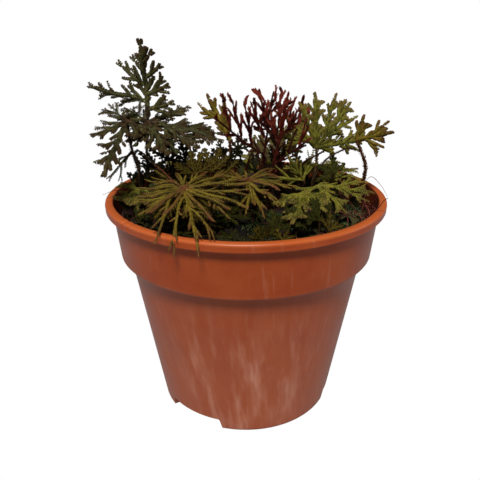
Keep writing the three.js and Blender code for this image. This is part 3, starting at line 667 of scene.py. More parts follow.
class Grown:
    """Everything grown so far, as samples with their half width and the way they face."""

    def __init__(self, room=40000):
        self.count = 0
        self.point = np.zeros((room, 3))
        self.normal = np.zeros((room, 3))
        self.half = np.zeros(room)
        self.owner = np.zeros(room, int)
        self.blade = np.zeros(room, int)
        self.edge = np.zeros(room, int)

    def add(self, point, normal, half, owner, blade, edge):
        here = slice(self.count, self.count + len(point))
        self.point[here] = point
        self.normal[here] = normal
        self.half[here] = half
        self.owner[here] = owner
        self.blade[here] = blade
        self.edge[here] = edge
        self.count += len(point)

    def seen_from(self, points, normals):
        """How far each sample is from each point, and how far off the point's own plane."""
        gap = self.point[None, :self.count] - points[:, None]
        return np.linalg.norm(gap, axis=2), np.abs((gap * normals[:, None]).sum(axis=2))


grown = Grown()


def is_blocked(points):
    """True where the pot or the compost is in the way."""
    radius = np.hypot(points[:, 0], points[:, 1])
    height = points[:, 2]
    ground = soil_height(points[:, 0], points[:, 1])
    over_rim = (radius > RIM_ZONE[0]) & (radius < RIM_ZONE[1]) & (height < POT_HEIGHT + RIM_CLEARANCE)
    at_wall = (radius > WALL_ZONE) & (radius < RIM_ZONE[1]) & (height < POT_HEIGHT - RIM_CLEARANCE)
    in_soil = (radius < SOIL_ZONE) & (height < ground + SOIL_CLEARANCE)
    return bool(np.any(over_rim | at_wall | in_soil))


def has_room(blade, points, normals, half, near):
    """True where an edge may grow, clear of all others but those that it joins."""
    if is_blocked(points):
        return False
    n = grown.count
    distance, facing = grown.seen_from(points, normals)
    other_half = grown.half[None, :n]
    at_foot = np.linalg.norm(points - blade.sheet.place(0, 0), axis=1)[:, None] < FOOT_ZONE
    own = grown.owner[:n] == blade.owner
    joined = np.isin(grown.edge[:n], near) | (grown.blade[:n] == STALK)
    other_blade = (grown.blade[:n] != blade.number)[None] & at_foot
    skip = own[None] & (joined[None] | other_blade)
    close = (distance <= half + other_half + SIDE_CLEARANCE) & ~skip
    lean = np.sqrt(np.maximum(0, 1 - (normals @ grown.normal[:n].T) ** 2))
    return not np.any(close & (facing < BLADE + FACE_CLEARANCE + other_half * lean))


class Blade:
    """A blade's plan: nodes in the flat, joined as a tree by ribs. Its lines are what leaves grow on."""

    numbers = 0
    edge_numbers = 0

    def __init__(self, sheet, half, owner):
        self.sheet = sheet
        self.half = half
        self.owner = owner
        self.number = Blade.numbers
        Blade.numbers += 1
        self.nodes = [(0.0, 0.0)]
        self.edges = []
        self.ribs = []
        self.lines = []

    def add_edge(self, start, turn, length, half):
        p, q = self.nodes[start]
        end = (p + length * math.cos(turn * DEGREE), q + length * math.sin(turn * DEGREE))
        near = [edge["number"] for edge in self.edges if start in (edge["start"], edge["end"])]
        share = np.arange(1, SAMPLES + 1) / SAMPLES
        plan = np.stack([p + (end[0] - p) * share, q + (end[1] - q) * share], axis=1)
        points, normals = self.sheet.lay(plan)
        if not has_room(self, points, normals, half, near):
            return None
        edge = dict(start=start, end=len(self.nodes), half=half, turn=turn, number=self.next_number())
        self.nodes.append(end)
        self.edges.append(edge)
        grown.add(points, normals, half, self.owner, self.number, edge["number"])
        return edge

    def next_number(self):
        Blade.edge_numbers += 1
        return Blade.edge_numbers - 1

    def edge_to(self, node):
        return next(edge for edge in self.edges if edge["end"] == node)

    def plan_of(self, nodes):
        return np.array([self.nodes[node] for node in nodes])

    def keep_line(self, plan, half, free=True):
        self.lines.append(dict(plan=plan, half=half, free=free))


def fork_turn(turn, parent_turn):
    """A branch leaves its parent at an angle that is never too narrow for the corner between them."""
    away = turn - parent_turn
    if abs(away) >= BRANCH_TURN:
        return turn
    return parent_turn + (-BRANCH_TURN if away < 0 else BRANCH_TURN)


def nearest_whole(value):
    return math.floor(value + 0.5)


def grow_rib(blade, start, one, first_turn, half):
    reach = one["reach"] - TIP_LOBE
    steps = max(1, nearest_whole(reach / RIB_STEP))
    length = reach / steps
    trail = [start]
    turn = first_turn
    for _ in range(steps):
        edge = blade.add_edge(trail[-1], turn, length, half)
        if edge is None:
            break
        trail.append(edge["end"])
        turn += (one["turn"] - turn) * RIB_EASE
    grown_rib = dict(trail=trail, half=half, taken={})
    blade.ribs.append(grown_rib)
    for where, branch in one["branches"]:
        index = nearest_whole(where / length)
        if index < 1 or index >= len(trail):
            continue
        parent = blade.edge_to(trail[index])
        from_turn = fork_turn(branch["turn"], parent["turn"])
        grown_rib["taken"][index] = 1 if from_turn > parent["turn"] else -1
        grow_rib(blade, trail[index], branch, from_turn, half * BRANCH_WIDTH)


def turned(plan, centre, angle):
    """The plan turned about a point, and a little longer."""
    cos, sin = math.cos(angle * DEGREE), math.sin(angle * DEGREE)
    return centre + (plan - centre) @ np.array([[cos, sin], [-sin, cos]]) * LOBE_STRETCH


def keep_lobe(blade, edges, side, fork=None):
    """Keeps a lobe's edges, one after the other, as a line to dress, and its fork as another. Both lean
    more forward than the solid ones."""
    plan = blade.plan_of([edges[0]["start"]] + [edge["end"] for edge in edges])
    line = turned(plan, plan[0], -side * LOBE_CLOSE)
    blade.keep_line(line, edges[0]["half"])
    if fork:
        plan = blade.plan_of([fork["start"], fork["end"]]) + line[1] - plan[1]
        blade.keep_line(turned(plan, plan[0], -side * FORK_CLOSE), fork["half"])


def grow_lobe(blade, start, turn, reach, half, bend):
    """A side lobe is as long as there is room for, and a long one carries a lobe of its own."""
    length = reach
    edge = None
    while edge is None and length >= SHORTEST_LOBE:
        first = length * FORKED_LOBE_FOOT if length > FORKED_LOBE else length
        edge = blade.add_edge(start, turn, first, half)
        if edge is None:
            length -= LOBE_TRIM
    if edge is None:
        return
    line = [edge]
    fork = None
    if length > first:
        tip_width, side_width = FORKED_LOBE_WIDTHS
        side_turn = turn - bend + math.copysign(FORKED_LOBE_TURN, bend)
        tip = blade.add_edge(edge["end"], turn - bend, length - first, half * tip_width)
        fork = blade.add_edge(edge["end"], side_turn, SHORTEST_LOBE, half * side_width)
        if tip:
            line.append(tip)
    keep_lobe(blade, line, math.copysign(1, bend), fork)


def grow_tip(blade, node, turn, half, forked_tips):
    """A rib's tip is a pair of lobes. Where tips aren't forked, one of them is dressed and points ahead."""
    for side in (1, -1):
        tip = blade.add_edge(node, turn + side * TIP_TURN, TIP_LOBE, half * TIP_WIDTH)
        if tip and forked_tips:
            keep_lobe(blade, [tip], side)
        elif tip and side == 1:
            keep_lobe(blade, [tip], TIP_TURN / LOBE_CLOSE)


def grow_lobes(blade, lobe, forked_tips):
    """Lobes on alternate sides of each rib, but for the side that a branch has taken."""
    for one in blade.ribs:
        side = 1
        count = len(one["trail"])
        for i in range(1, count):
            node = one["trail"][i]
            turn = blade.edge_to(node)["turn"]
            taken = one["taken"].get(i)
            if i == count - 1 and not taken:
                grow_tip(blade, node, turn, one["half"], forked_tips)
                continue
            if taken:
                side = taken
                continue
            reach = lobe * (1 - (LOBE_FADE * i) / count)
            grow_lobe(blade, node, turn + side * LOBE_TURN, reach, one["half"] * LOBE_WIDTH, side * LOBE_BEND)
            side = -side


def stalk_points(stalk, sheets):
    """The stalk's middle line, from its foot in the compost to a point on one of its plant's sheets."""
    foot_x, foot_y = stalk["foot"]
    index, p, q = stalk.get("to", [0, 0, 0])
    ground = soil_height(foot_x, foot_y)
    knots = [[foot_x, foot_y, ground - HOLE_DEPTH + FOOT_LIFT], [foot_x, foot_y, ground + COLLAR_LIFT]]
    knots += stalk["via"] + [list(sheets[index].place(p, q))]
    return smooth_line(np.array(knots, float))


def rib(turn, reach, *branches):
    return dict(turn=turn, reach=reach, branches=branches)


# The plants. Turns are degrees from the sheet's middle rib, and reaches and places are millimetres. Loose
# says how many single rays rise over the sheet, the shortest and longest reach, and the longest one's turn.
PLANTS = [
    dict(
        name="tall_spray", kind="dark", shade_backing=1,
        stalks=[
            dict(foot=[-40, 5], via=[[-42, 3, 104], [-41.5, 1, 118]]),
            dict(foot=[-33, 7], via=[[-32, 4, 104], [-31.5, 1, 116]], to=[1, 10, 0]),
        ],
        sheets=[dict(
            at=[-40.6, 0, 128.2], along=[0.02, -0.12, 1], face=[-0.2, -1, 0], curl=-0.006, half=1.1,
            lobe=6, overlap=0.5,
            ribs=[
                rib(1, 31,
                    [3, rib(-71, 12)], [7, rib(70, 22, [12, rib(42, 8)])], [10, rib(-66, 11)],
                    [13, rib(49, 14)], [16, rib(-52, 10)], [20, rib(38, 7)], [23, rib(-44, 7)]),
            ],
        ), dict(
            at=[-40.6, -0.6, 126.4], along=[1, -0.25, -0.05], face=[0.1, -0.5, 1], curl=0.012, half=1.05,
            # Painted shade: shade darkens this lower sheet's leaves as if they lay in shadow
            lobe=6, overlap=0.35, aged=0.1, shade=0.5,
            ribs=[
                rib(2, 32, [7, rib(-22, 20)], [13, rib(30, 15)], [20, rib(-20, 10)]),
                rib(54, 21, [7, rib(32, 15)], [10, rib(84, 8)]), rib(-48, 21, [7, rib(-84, 10)]),
                rib(-112, 13), rib(146, 20, [7, rib(110, 12)]),
            ],
        )],
    ),
    dict(
        name="left_spray", kind="dark",
        stalks=[dict(foot=[-45, 9], via=[[-46.5, 6, 103], [-48.2, 1, 117]])],
        sheets=[dict(
            at=[-48, -5.5, 127.6], along=[-1, -0.3, 0], face=[-0.1, -0.5, 1], curl=0.016, half=1.05,
            lobe=6, overlap=0, aged=0.1, shade=0.7,
            ribs=[
                rib(22, 16, [7, rib(-8, 7)]), rib(64, 29, [10, rib(100, 8)], [16, rib(28, 8)]),
                rib(-58, 16, [7, rib(-94, 14)]), rib(133, 9),
            ],
        )],
    ),
    dict(
        name="front_rosette", kind="yellow", style="rays", loose=(17, 10, 30, 35), radius=0.9,
        stalks=[dict(foot=[-25, -20], via=[[-24.5, -24, 97]])],
        sheets=[dict(
            at=[-23.8, -28.5, 106.5], along=[0, -1, -0.1], face=[0, -0.1, 1], curl=0.011,
            curl_back=-0.015, ripple=0.3, brink=31, hang=0.15, half=0.85, lobe=4.6,
            ribs=[
                rib(13, 36, [7, rib(0, 28)], [17, rib(24, 18)]),
                rib(-36, 24, [7, rib(-14, 24)], [10, rib(-58, 12)]), rib(-86, 17, [7, rib(-64, 12)]),
                rib(-138, 19, [7, rib(-112, 12)]), rib(160, 16, [7, rib(-176, 10)]),
                rib(108, 26, [7, rib(134, 13)], [13, rib(92, 12)]),
                rib(60, 27, [7, rib(84, 19)], [10, rib(40, 17)]),
            ],
        )],
    ),
    dict(
        name="right_fan", kind="green", style="fan",
        stalks=[dict(foot=[28, 7], via=[[29, 6, 100], [29.8, 4.6, 108]])],
        sheets=[dict(
            at=[30.2, 4, 114.8], along=[0.3, 0.2, 1], face=[0.3, -1, 0.25], curl=0.016, half=1, lobe=5,
            ribs=[
                rib(62, 17, [4, rib(92, 14)], [10, rib(36, 8)]),
                rib(16, 23, [4, rib(38, 17)], [7, rib(0, 18)], [13, rib(30, 9)]),
                rib(-26, 26, [7, rib(-8, 19)], [10, rib(-44, 16)], [16, rib(-14, 10)]),
                rib(-66, 30, [7, rib(-46, 21)], [13, rib(-86, 10)], [16, rib(-52, 12)]),
            ],
        )],
    ),
    dict(
        name="red_spray_left", kind="red", radius=0.9,
        stalks=[dict(foot=[5, 6], via=[[6, 4.6, 98], [7, 3.4, 105]])],
        sheets=[dict(
            at=[7.6, 3, 111.8], along=[-0.15, 0, 1], face=[0.3, -1, 0], curl=-0.012, half=0.8, lobe=5,
            ribs=[
                rib(44, 28, [7, rib(8, 20)], [13, rib(12, 18)], [17, rib(66, 8)], [20, rib(14, 14)]),
                rib(-14, 27, [7, rib(14, 18)], [13, rib(8, 13)], [16, rib(-36, 9)]),
            ],
        )],
    ),
    dict(
        name="red_spray_right", kind="red", radius=0.9,
        stalks=[dict(foot=[10, -1], via=[[10, -2, 97]])],
        sheets=[dict(
            at=[11.7, -3, 108.9], along=[0.3, 0, 1], face=[-0.45, -1, 0], curl=-0.01, half=0.8, lobe=5,
            ribs=[
                rib(4, 31, [10, rib(30, 16)], [13, rib(-14, 16)], [20, rib(22, 11)]),
                rib(-36, 20, [7, rib(-10, 15)], [13, rib(0, 10)]),
            ],
        )],
    ),
    dict(
        name="red_spray_back", kind="red", radius=0.9,
        stalks=[dict(foot=[16, 12], via=[[15, 10, 98]])],
        sheets=[dict(
            at=[15.1, 9, 108.1], along=[0.1, 0, 1], face=[0.45, -1, 0], curl=0.012, half=0.8, lobe=5,
            ribs=[
                rib(22, 28, [10, rib(0, 18)], [13, rib(40, 12)]),
                rib(-22, 27, [10, rib(0, 17)], [13, rib(-40, 11)]),
            ],
        )],
    ),
    dict(
        name="yellow_sprig", kind="yellow", style="sprig",
        stalks=[dict(foot=[1, 16], via=[[-4, 15, 102], [-6.5, 14.3, 110]])],
        sheets=[dict(
            at=[-7.1, 14, 116], along=[-0.5, 0, 1], face=[-0.3, -1, 0.3], curl=0.015, half=0.95, lobe=4.6,
            shade=-0.5,
            ribs=[rib(2, 22, [10, rib(18, 12)], [7, rib(-14, 14)])],
        )],
    ),
    dict(
        name="right_sprig", kind="yellow", style="fan",
        stalks=[dict(foot=[46, 9], via=[[50, 6, 96], [50, 2, 106]])],
        sheets=[dict(
            at=[46, -2, 119.3], along=[0.6, -0.3, 0.6], face=[-0.2, -1, 0.5], curl=0.012, half=0.9,
            lobe=4.4,
            ribs=[rib(-24, 15, [7, rib(-2, 9)], [4, rib(-58, 9)]), rib(40, 10)],
        )],
    ),
    dict(
        name="right_low_fan", kind="green", style="fern",
        stalks=[dict(foot=[34, -8], via=[[31, -12, 96]])],
        sheets=[dict(
            at=[29.2, -14, 103.1], along=[1, -0.2, 0], face=[0, -0.4, 1], curl=0.014, curl_back=0.004,
            half=1, lobe=5,
            ribs=[
                rib(4, 23, [7, rib(24, 16)], [10, rib(-20, 12)]),
                rib(50, 24, [7, rib(76, 16)], [10, rib(38, 13)]), rib(-46, 18, [7, rib(-70, 9)]),
                rib(-140, 9),
            ],
        )],
    ),
    dict(
        name="middle_right_spray", kind="green", style="fern",
        stalks=[dict(foot=[23, 2], via=[[24, -3, 97]])],
        sheets=[dict(
            at=[24.1, -6, 103.2], along=[-0.4, -0.3, 1], face=[0.1, -1, 0.7], curl=0.012, half=0.95,
            lobe=4.6,
            ribs=[rib(8, 15), rib(54, 16, [7, rib(30, 9)]), rib(-48, 14, [7, rib(-22, 8)])],
        )],
    ),
    dict(
        name="front_fan", kind="green",
        stalks=[dict(foot=[22, -17], via=[[23, -21, 97]])],
        sheets=[dict(
            at=[23.6, -24, 102.7], along=[-0.2, -1, -0.1], face=[0, -0.2, 1], curl=0.022, half=1.05,
            lobe=4.6,
            ribs=[rib(-10, 19, [7, rib(12, 11)]), rib(-62, 14), rib(42, 13), rib(102, 10)],
        )],
    ),
    dict(
        name="middle_spray", kind="yellow", style="rays", loose=(9, 11, 22, 0),
        stalks=[dict(foot=[1, -9], via=[[0.5, -14, 98]])],
        sheets=[dict(
            at=[0.1, -18, 106.6], along=[0.3, -1, 0], face=[0, -0.2, 1], curl=0.024, curl_back=-0.012,
            half=0.9, lobe=4.4, shade=0.2,
            ribs=[
                rib(-2, 26, [7, rib(18, 16)], [10, rib(-24, 14)]), rib(64, 20),
                rib(122, 17, [7, rib(98, 10)]), rib(-160, 15), rib(-104, 13),
            ],
        )],
    ),
    dict(
        name="left_rim_sprig", kind="green",
        stalks=[dict(foot=[-40, -5], via=[[-43, -7, 93]])],
        sheets=[dict(
            at=[-45.1, -8, 99.4], along=[-1, -0.5, 0], face=[0, -0.3, 1], curl=0.02, curl_back=0,
            half=0.95, lobe=4.4, shade=0.9,
            ribs=[rib(22, 12), rib(72, 13), rib(-64, 11), rib(166, 9)],
        )],
    ),
    dict(
        name="dark_sprig", kind="dark",
        stalks=[dict(foot=[41, -14], via=[])],
        sheets=[dict(
            at=[41, -18, 92.4], along=[1, 0, 0.1], face=[0, -0.3, 1], curl=0.015, half=0.9, lobe=4,
            ribs=[rib(12, 9), rib(-48, 9), rib(88, 8), rib(-150, 9)],
        )],
    ),
    dict(
        name="drooping_stem", kind="dark", style="twig",
        stalks=[dict(foot=[-45, -1], via=[[-45.5, -2, 100], [-45, -5, 111]])],
        sheets=[dict(
            at=[-47.4, -6, 115.1], along=[-1, -0.2, -0.2], face=[0, -1, 0.6], curl=0.03, half=0.8, lobe=4,
            shade=0.9,
            ribs=[rib(34, 15, [7, rib(70, 7)])],
        )],
    ),
    dict(
        name="back_left_spray", kind="green",
        stalks=[dict(foot=[-25, 22], via=[])],
        sheets=[dict(
            at=[-28, 27, 100], along=[-0.6, 1, 0], face=[0, 0, 1], curl=0.007, curl_back=-0.03, half=1,
            lobe=5,
            ribs=[rib(0, 24), rib(62, 22), rib(124, 17), rib(180, 16), rib(-120, 16), rib(-60, 23)],
        )],
    ),
    dict(
        name="back_spray", kind="green",
        stalks=[dict(foot=[3, 28], via=[])],
        sheets=[dict(
            at=[3, 34, 101], along=[0, 1, 0], face=[0, 0, 1], curl=0.008, brink=24, hang=0.12, half=1,
            lobe=5,
            ribs=[rib(4, 30), rib(60, 18), rib(120, 15), rib(178, 14), rib(-118, 15), rib(-58, 18)],
        )],
    ),
    dict(
        name="back_fan", kind="green",
        stalks=[dict(foot=[19, 19], via=[[17, 21, 98]])],
        sheets=[dict(
            at=[15, 23, 105], along=[-0.2, 0.5, 1], face=[0.3, 1, -0.3], curl=-0.01, half=1, lobe=5,
            ribs=[rib(4, 19, [7, rib(30, 10)]), rib(58, 16), rib(-52, 17, [7, rib(-28, 10)])],
        )],
    ),
    dict(
        name="back_right_spray", kind="green",
        stalks=[dict(foot=[32, 22], via=[])],
        sheets=[dict(
            at=[34, 27, 100], along=[0.7, 1, 0], face=[0, 0, 1], curl=0.007, curl_back=-0.02, half=1,
            lobe=5,
            ribs=[rib(0, 22), rib(62, 20), rib(124, 15), rib(180, 16), rib(-120, 15), rib(-60, 19)],
        )],
    ),
]


# Growth: all stalks first, then all main ribs, and the lobes take the room that is left


def look_of(plant):
    return LOOKS[plant.get("style", plant["kind"])]


def all_blades():
    """Each plant's sheets with the blades that lie in them."""
    for plant in PLANTS:
        for sheet, blade in zip(plant["sheets"], plant["blades"]):
            yield plant, sheet, blade


def grow_plants():
    for number, plant in enumerate(PLANTS):
        plant.setdefault("radius", STALK_RADIUS)
        shapes = [{key: sheet[key] for key in SHEET_WORDS if key in sheet} for sheet in plant["sheets"]]
        surfaces = [Sheet(**shape) for shape in shapes]
        halves = [sheet["half"] for sheet in plant["sheets"]]
        plant["blades"] = [Blade(surface, half, number) for surface, half in zip(surfaces, halves)]
        plant["lines"] = [stalk_points(stalk, surfaces) for stalk in plant["stalks"]]
        for line in plant["lines"]:
            length = lengths_of(line)[-1]
            points = at_lengths(line, np.linspace(0, length, math.ceil(length / STALK_SAMPLE) + 1))
            grown.add(points, directions(points), plant["radius"], number, STALK, NO_EDGE)
    for _, sheet, blade in all_blades():
        for one in sheet["ribs"]:
            grow_rib(blade, 0, one, one["turn"], sheet["half"])
    for plant, sheet, blade in all_blades():
        grow_lobes(blade, sheet["lobe"], look_of(plant)["forked_tips"])
    random = np.random.default_rng(FINE_SEED)
    for plant, sheet, blade in all_blades():
        look = look_of(plant)
        keep_ribs(blade)
        overlap = sheet.get("overlap", look["overlap"])
        grow_fine_lobes(blade, sheet["lobe"], look | dict(overlap=overlap), random)


def keep_ribs(blade):
    """Each rib is a line to dress, before its lobes, and its tip is free unless a branch goes on from it."""
    lobes = blade.lines
    blade.lines = []
    for one in blade.ribs:
        last = len(one["trail"]) - 1
        if last > 0:
            blade.keep_line(blade.plan_of(one["trail"]), one["half"], last not in one["taken"])
    blade.lines += lobes


def fine_room(blade, plan, half, own_edges, foot, overlap):
    """A fine lobe's points and upper sides if it has room beside what has grown, which it may touch."""
    points, normals = blade.sheet.lay(plan)
    if is_blocked(points):
        return None
    n = grown.count
    distance, facing = grown.seen_from(points, normals)
    at_foot = np.linalg.norm(grown.point[:n] - foot, axis=1) < FINE_FOOT
    skip = (grown.owner[:n] == blade.owner) & (at_foot | np.isin(grown.edge[:n], own_edges))
    close = (distance < half + grown.half[None, :n] - overlap) & (facing < FINE_FACING) & ~skip[None]
    return None if np.any(close) else (points, normals)


def grow_fine_lobe(blade, start, turn, reach, half, own_edges, overlap, shortest=FINE_SHORTEST):
    """A fine lobe as long as there is room for. Returns its plan and its number, or nothing."""
    foot = blade.sheet.place(*start)
    ahead = np.array([math.cos(turn * DEGREE), math.sin(turn * DEGREE)])
    length = reach
    while length >= shortest:
        where = np.arange(FINE_FIRST, length + 0.01, FINE_SAMPLE)[:, None]
        room = fine_room(blade, start + ahead * where, half, own_edges, foot, overlap)
        if room:
            number = blade.next_number()
            grown.add(*room, half, blade.owner, blade.number, number)
            plan = np.array([start, start + ahead * length])
            blade.keep_line(plan, half)
            return plan, number
        length -= FINE_TRIM
    return None


def grow_fine_lobes(blade, lobe, look, random):
    """Fine lobes on both sides of each rib, with a fork or two on the longer ones."""
    for one in blade.ribs:
        if len(one["trail"]) < 2:
            continue
        plan = smooth_line(blade.plan_of(one["trail"]), steps=6)
        own_edges = [blade.edge_to(node)["number"] for node in one["trail"][1:]]
        lengths = lengths_of(plan)
        total = lengths[-1]
        heading = directions(plan)
        half = one["half"] * look["lobe_width"]
        side = 1
        for where in np.arange(FINE_FIRST_LOBE, total - TIP_BARE, look["lobe_step"]):
            side = -side
            start = read_along(plan, lengths, where)
            ahead = read_along(heading, lengths, where)
            away = look["lobe_turn"] + random.normal(0, FINE_SWAY)
            turn = math.atan2(ahead[1], ahead[0]) / DEGREE + side * away
            reach = look["lobe_reach"] * lobe * (1 - FINE_FADE * where / total)
            reach = reach * random.uniform(*FINE_REACHES)
            fine_lobe = grow_fine_lobe(blade, start, turn, reach, half, own_edges, look["overlap"])
            if fine_lobe:
                grow_forks(blade, fine_lobe, turn, side, half, own_edges, look, random)


def grow_forks(blade, fine_lobe, turn, side, half, own_edges, look, random):
    (foot, tip), number = fine_lobe
    length = np.linalg.norm(tip - foot)
    for least, share, fork_side in zip(look["forks"], FORK_PLACES, (-side, side)):
        if length > least:
            start = foot + (tip - foot) * share
            away = turn + fork_side * (FORK_TURN + random.normal(0, FINE_SWAY))
            size = (length * FORK_REACH, half * FORK_WIDTH)
            grow_fine_lobe(blade, start, away, *size, [number, *own_edges], look["overlap"], FORK_SHORTEST)


# Leaves and scales: points, faces of the upper side and faces of the underside. Both run along x from foot
# to tip, are 1 long and 1 wide, and z is their upper side.

LEAF = (
    np.array([
        (0, 0.22, 0), (0, -0.22, 0),
        (0.35, 0.5, 0), (0.35, 0, 0.06), (0.35, -0.5, 0), (0.35, 0, -0.03),
        (0.74, 0.4, -0.03), (0.74, 0, 0.03), (0.74, -0.4, -0.03), (0.74, 0, -0.06),
        (1, 0, -0.12),
    ]),
    [(0, 1, 3), (0, 3, 2), (1, 4, 3), (2, 3, 7), (2, 7, 6), (3, 4, 8), (3, 8, 7), (6, 7, 10), (7, 8, 10)],
    [(1, 0, 5), (0, 2, 5), (4, 1, 5), (5, 2, 9), (9, 2, 6), (4, 5, 8), (8, 5, 9), (9, 6, 10), (8, 9, 10)],
)
SCALE = (
    np.array([(0, 0, 0), (0.45, 0.5, 0), (0.45, -0.5, 0), (0.5, 0, 0.13), (0.5, 0, -0.05), (1, 0, 0)]),
    [(0, 2, 3), (0, 3, 1), (2, 5, 3), (3, 5, 1)],
    [(2, 0, 4), (0, 1, 4), (5, 2, 4), (1, 5, 4)],
)


class Foliage:
    """Leaves and ribs as arrays, until they become one mesh. Each point keeps how far along its leaf it
    is, how far across, and the leaf's tone. Each face keeps whether it is an underside, how woody it is
    and how near to the plant's tips."""

    def __init__(self, seed):
        self.random = np.random.default_rng(seed)
        self.shade = 0
        self.points = []
        self.faces = []
        self.leaf = []
        self.growth = []
        self.count = 0

    def add(self, points, faces, leaf, growth):
        self.points.append(points)
        self.faces.append(faces + self.count)
        self.leaf.append(leaf)
        self.growth.append(growth)
        self.count += len(points)

    def add_leaves(self, form, feet, ahead, upper, length, width, age, woody=0.0):
        """One leaf or scale at each foot, pointing ahead, with its upper side up."""
        template, top, under = form
        faces = np.array(top + under)
        count = len(feet)
        across = unit(np.cross(upper, ahead))
        lift = np.cross(ahead, across)
        x = template[:, 0][None, :, None] * length[:, None, None]
        y = template[:, 1][None, :, None] * width[:, None, None]
        z = template[:, 2][None, :, None] * length[:, None, None]
        points = feet[:, None] + ahead[:, None] * x + across[:, None] * y + lift[:, None] * z
        numbers = faces[None] + (np.arange(count) * len(template))[:, None, None]
        tone = self.random.random(count) - self.shade
        leaf = np.empty((count, len(template), 3))
        leaf[:, :, 0] = template[:, 0]
        leaf[:, :, 1] = np.abs(template[:, 1]) * 2
        leaf[:, :, 2] = tone[:, None]
        growth = np.empty((count, len(faces), 3))
        growth[:, :, 0] = np.arange(len(faces)) >= len(top)
        growth[:, :, 1] = woody
        growth[:, :, 2] = age[:, None]
        self.add(points.reshape(-1, 3), numbers.reshape(-1, 3), leaf.reshape(-1, 3), growth.reshape(-1, 3))

    def add_tube(self, line, upper, radius, age, woody, sides=5):
        """A closed tube along the line, with a radius for each of its points."""
        ahead = directions(line)
        across = unit(np.cross(upper, ahead))
        lift = np.cross(ahead, across)
        angle = 2 * math.pi * np.arange(sides) / sides
        ring = across[:, None] * np.cos(angle)[None, :, None] + lift[:, None] * np.sin(angle)[None, :, None]
        points = line[:, None] + ring * radius[:, None, None]
        points = np.vstack([points.reshape(-1, 3), line[:1], line[-1:]])
        first, last = len(points) - 2, len(points) - 1
        end = first - sides
        faces = []
        for foot in range(0, end, sides):
            for k in range(sides):
                a, b = foot + k, foot + (k + 1) % sides
                faces += [(a, b, b + sides), (a, b + sides, a + sides)]
        for k in range(sides):
            after = (k + 1) % sides
            faces += [(first, after, k), (last, end + k, end + after)]
        leaf = np.zeros((len(points), 3))
        leaf[:, 0] = TUBE_ALONG
        leaf[:, 2] = self.random.random()
        growth = np.empty((len(faces), 3))
        growth[:] = (0, woody, age)
        self.add(points, np.array(faces), leaf, growth)

    def dress(self, line, upper, half, look, free=True, start=0.0, age=0.5):
        """Clothes a rib in two ranks of side leaves, and two ranks of smaller ones on its upper side. Half
        is the half width that they reach."""
        lengths = lengths_of(line)
        total = lengths[-1]
        if total - start < look["step"]:
            return
        line_ahead = directions(line)
        rib_radius = look["tube"] * half * (1 - RIB_TAPER * free * lengths / total)
        self.add_tube(line, upper, rib_radius, age, look["rib"], sides=4)
        spread = look["angle"] * DEGREE
        leaf_length = (half - LEAF_INSET) / math.sin(spread)
        count = max(1, round((total - start) / look["step"]))
        for rank, side in ((0, 1), (0.5, -1)):
            where = start + (np.arange(count) + rank) * (total - start) / count
            left = total - where
            feet = at_lengths(line, where)
            ahead = unit(read_along(line_ahead, lengths, where))
            up = square_to(read_along(upper, lengths, where), ahead)
            out = np.cross(up, ahead) * side
            length = np.full(count, leaf_length)
            turn = np.full(count, spread)
            if free:
                length = leaf_length * np.clip(look["blunt"] + left / (look["taper"] * half), 0, 1)
                close = look["tip_close"]
                turn = spread * (close + (1 - close) * np.clip(left / (TIP_CLOSE_REACH * half), 0, 1))
            ripe = look["ripen"] * (1 - np.clip(left / RIPE_REACH, 0, 1)) * free
            leaf_age = np.clip(age + ripe, 0, 1)
            self.rank_of_leaves(feet, ahead, up, out, turn, length, look, leaf_age)
            self.rank_of_tops(feet, ahead, up, out, length, half, look, leaf_age)
        if free:
            self.tuft(line[-1], line_ahead[-1], upper[-1], leaf_length, look, age)

    def rank_of_leaves(self, feet, ahead, up, out, spread, length, look, age):
        random = self.random
        count = len(feet)
        angle = (spread + random.normal(0, LEAF_SWAY, count))[:, None]
        length = length * random.uniform(*LEAF_LENGTHS, count)
        droop = look["droop"] + random.normal(0, DROOP_SWAY, (count, 1))
        heading = unit(ahead * np.cos(angle) + out * np.sin(angle) - up * droop)
        facing = unit(up + out * random.normal(look["roll"], ROLL_SWAY, (count, 1)))
        base = feet + out * LEAF_INSET / 2 + up * random.uniform(*LEAF_RISES, (count, 1))
        self.add_leaves(LEAF, base, heading, facing, length, length * look["width"], age)

    def rank_of_tops(self, feet, ahead, up, out, length, half, look, age):
        count = len(feet)
        angle = (look["top_angle"] * DEGREE + self.random.normal(0, LEAF_SWAY, count))[:, None]
        heading = unit(ahead * np.cos(angle) + out * np.sin(angle) + up * look["top_lift"])
        base = feet + up * TOP_LIFT * half + out * TOP_INSET * half
        size = length * TOP_SHARE * self.random.uniform(*TOP_SIZES, count)
        self.add_leaves(SCALE, base, heading, unit(up + out * TOP_ROLL), size, size * look["width"], age)

    def tuft(self, end, ahead, up, length, look, age):
        """The small leaves that close a rib's free end."""
        up = square_to(up, ahead)
        out = np.cross(up, ahead)
        heading = unit(ahead * np.cos(TUFT_TURNS)[:, None] + out * np.sin(TUFT_TURNS)[:, None])
        count = len(heading)
        feet = np.tile(end - ahead * length * TUFT_BACK, (count, 1))
        size = length * TUFT_SIZES * (TUFT_LEAST + min(look["blunt"], TUFT_MOST))
        leaf_age = np.full(count, min(1, age + look["ripen"]))
        self.add_leaves(LEAF, feet, heading, np.tile(up, (count, 1)), size, size * TUFT_WIDTH, leaf_age)

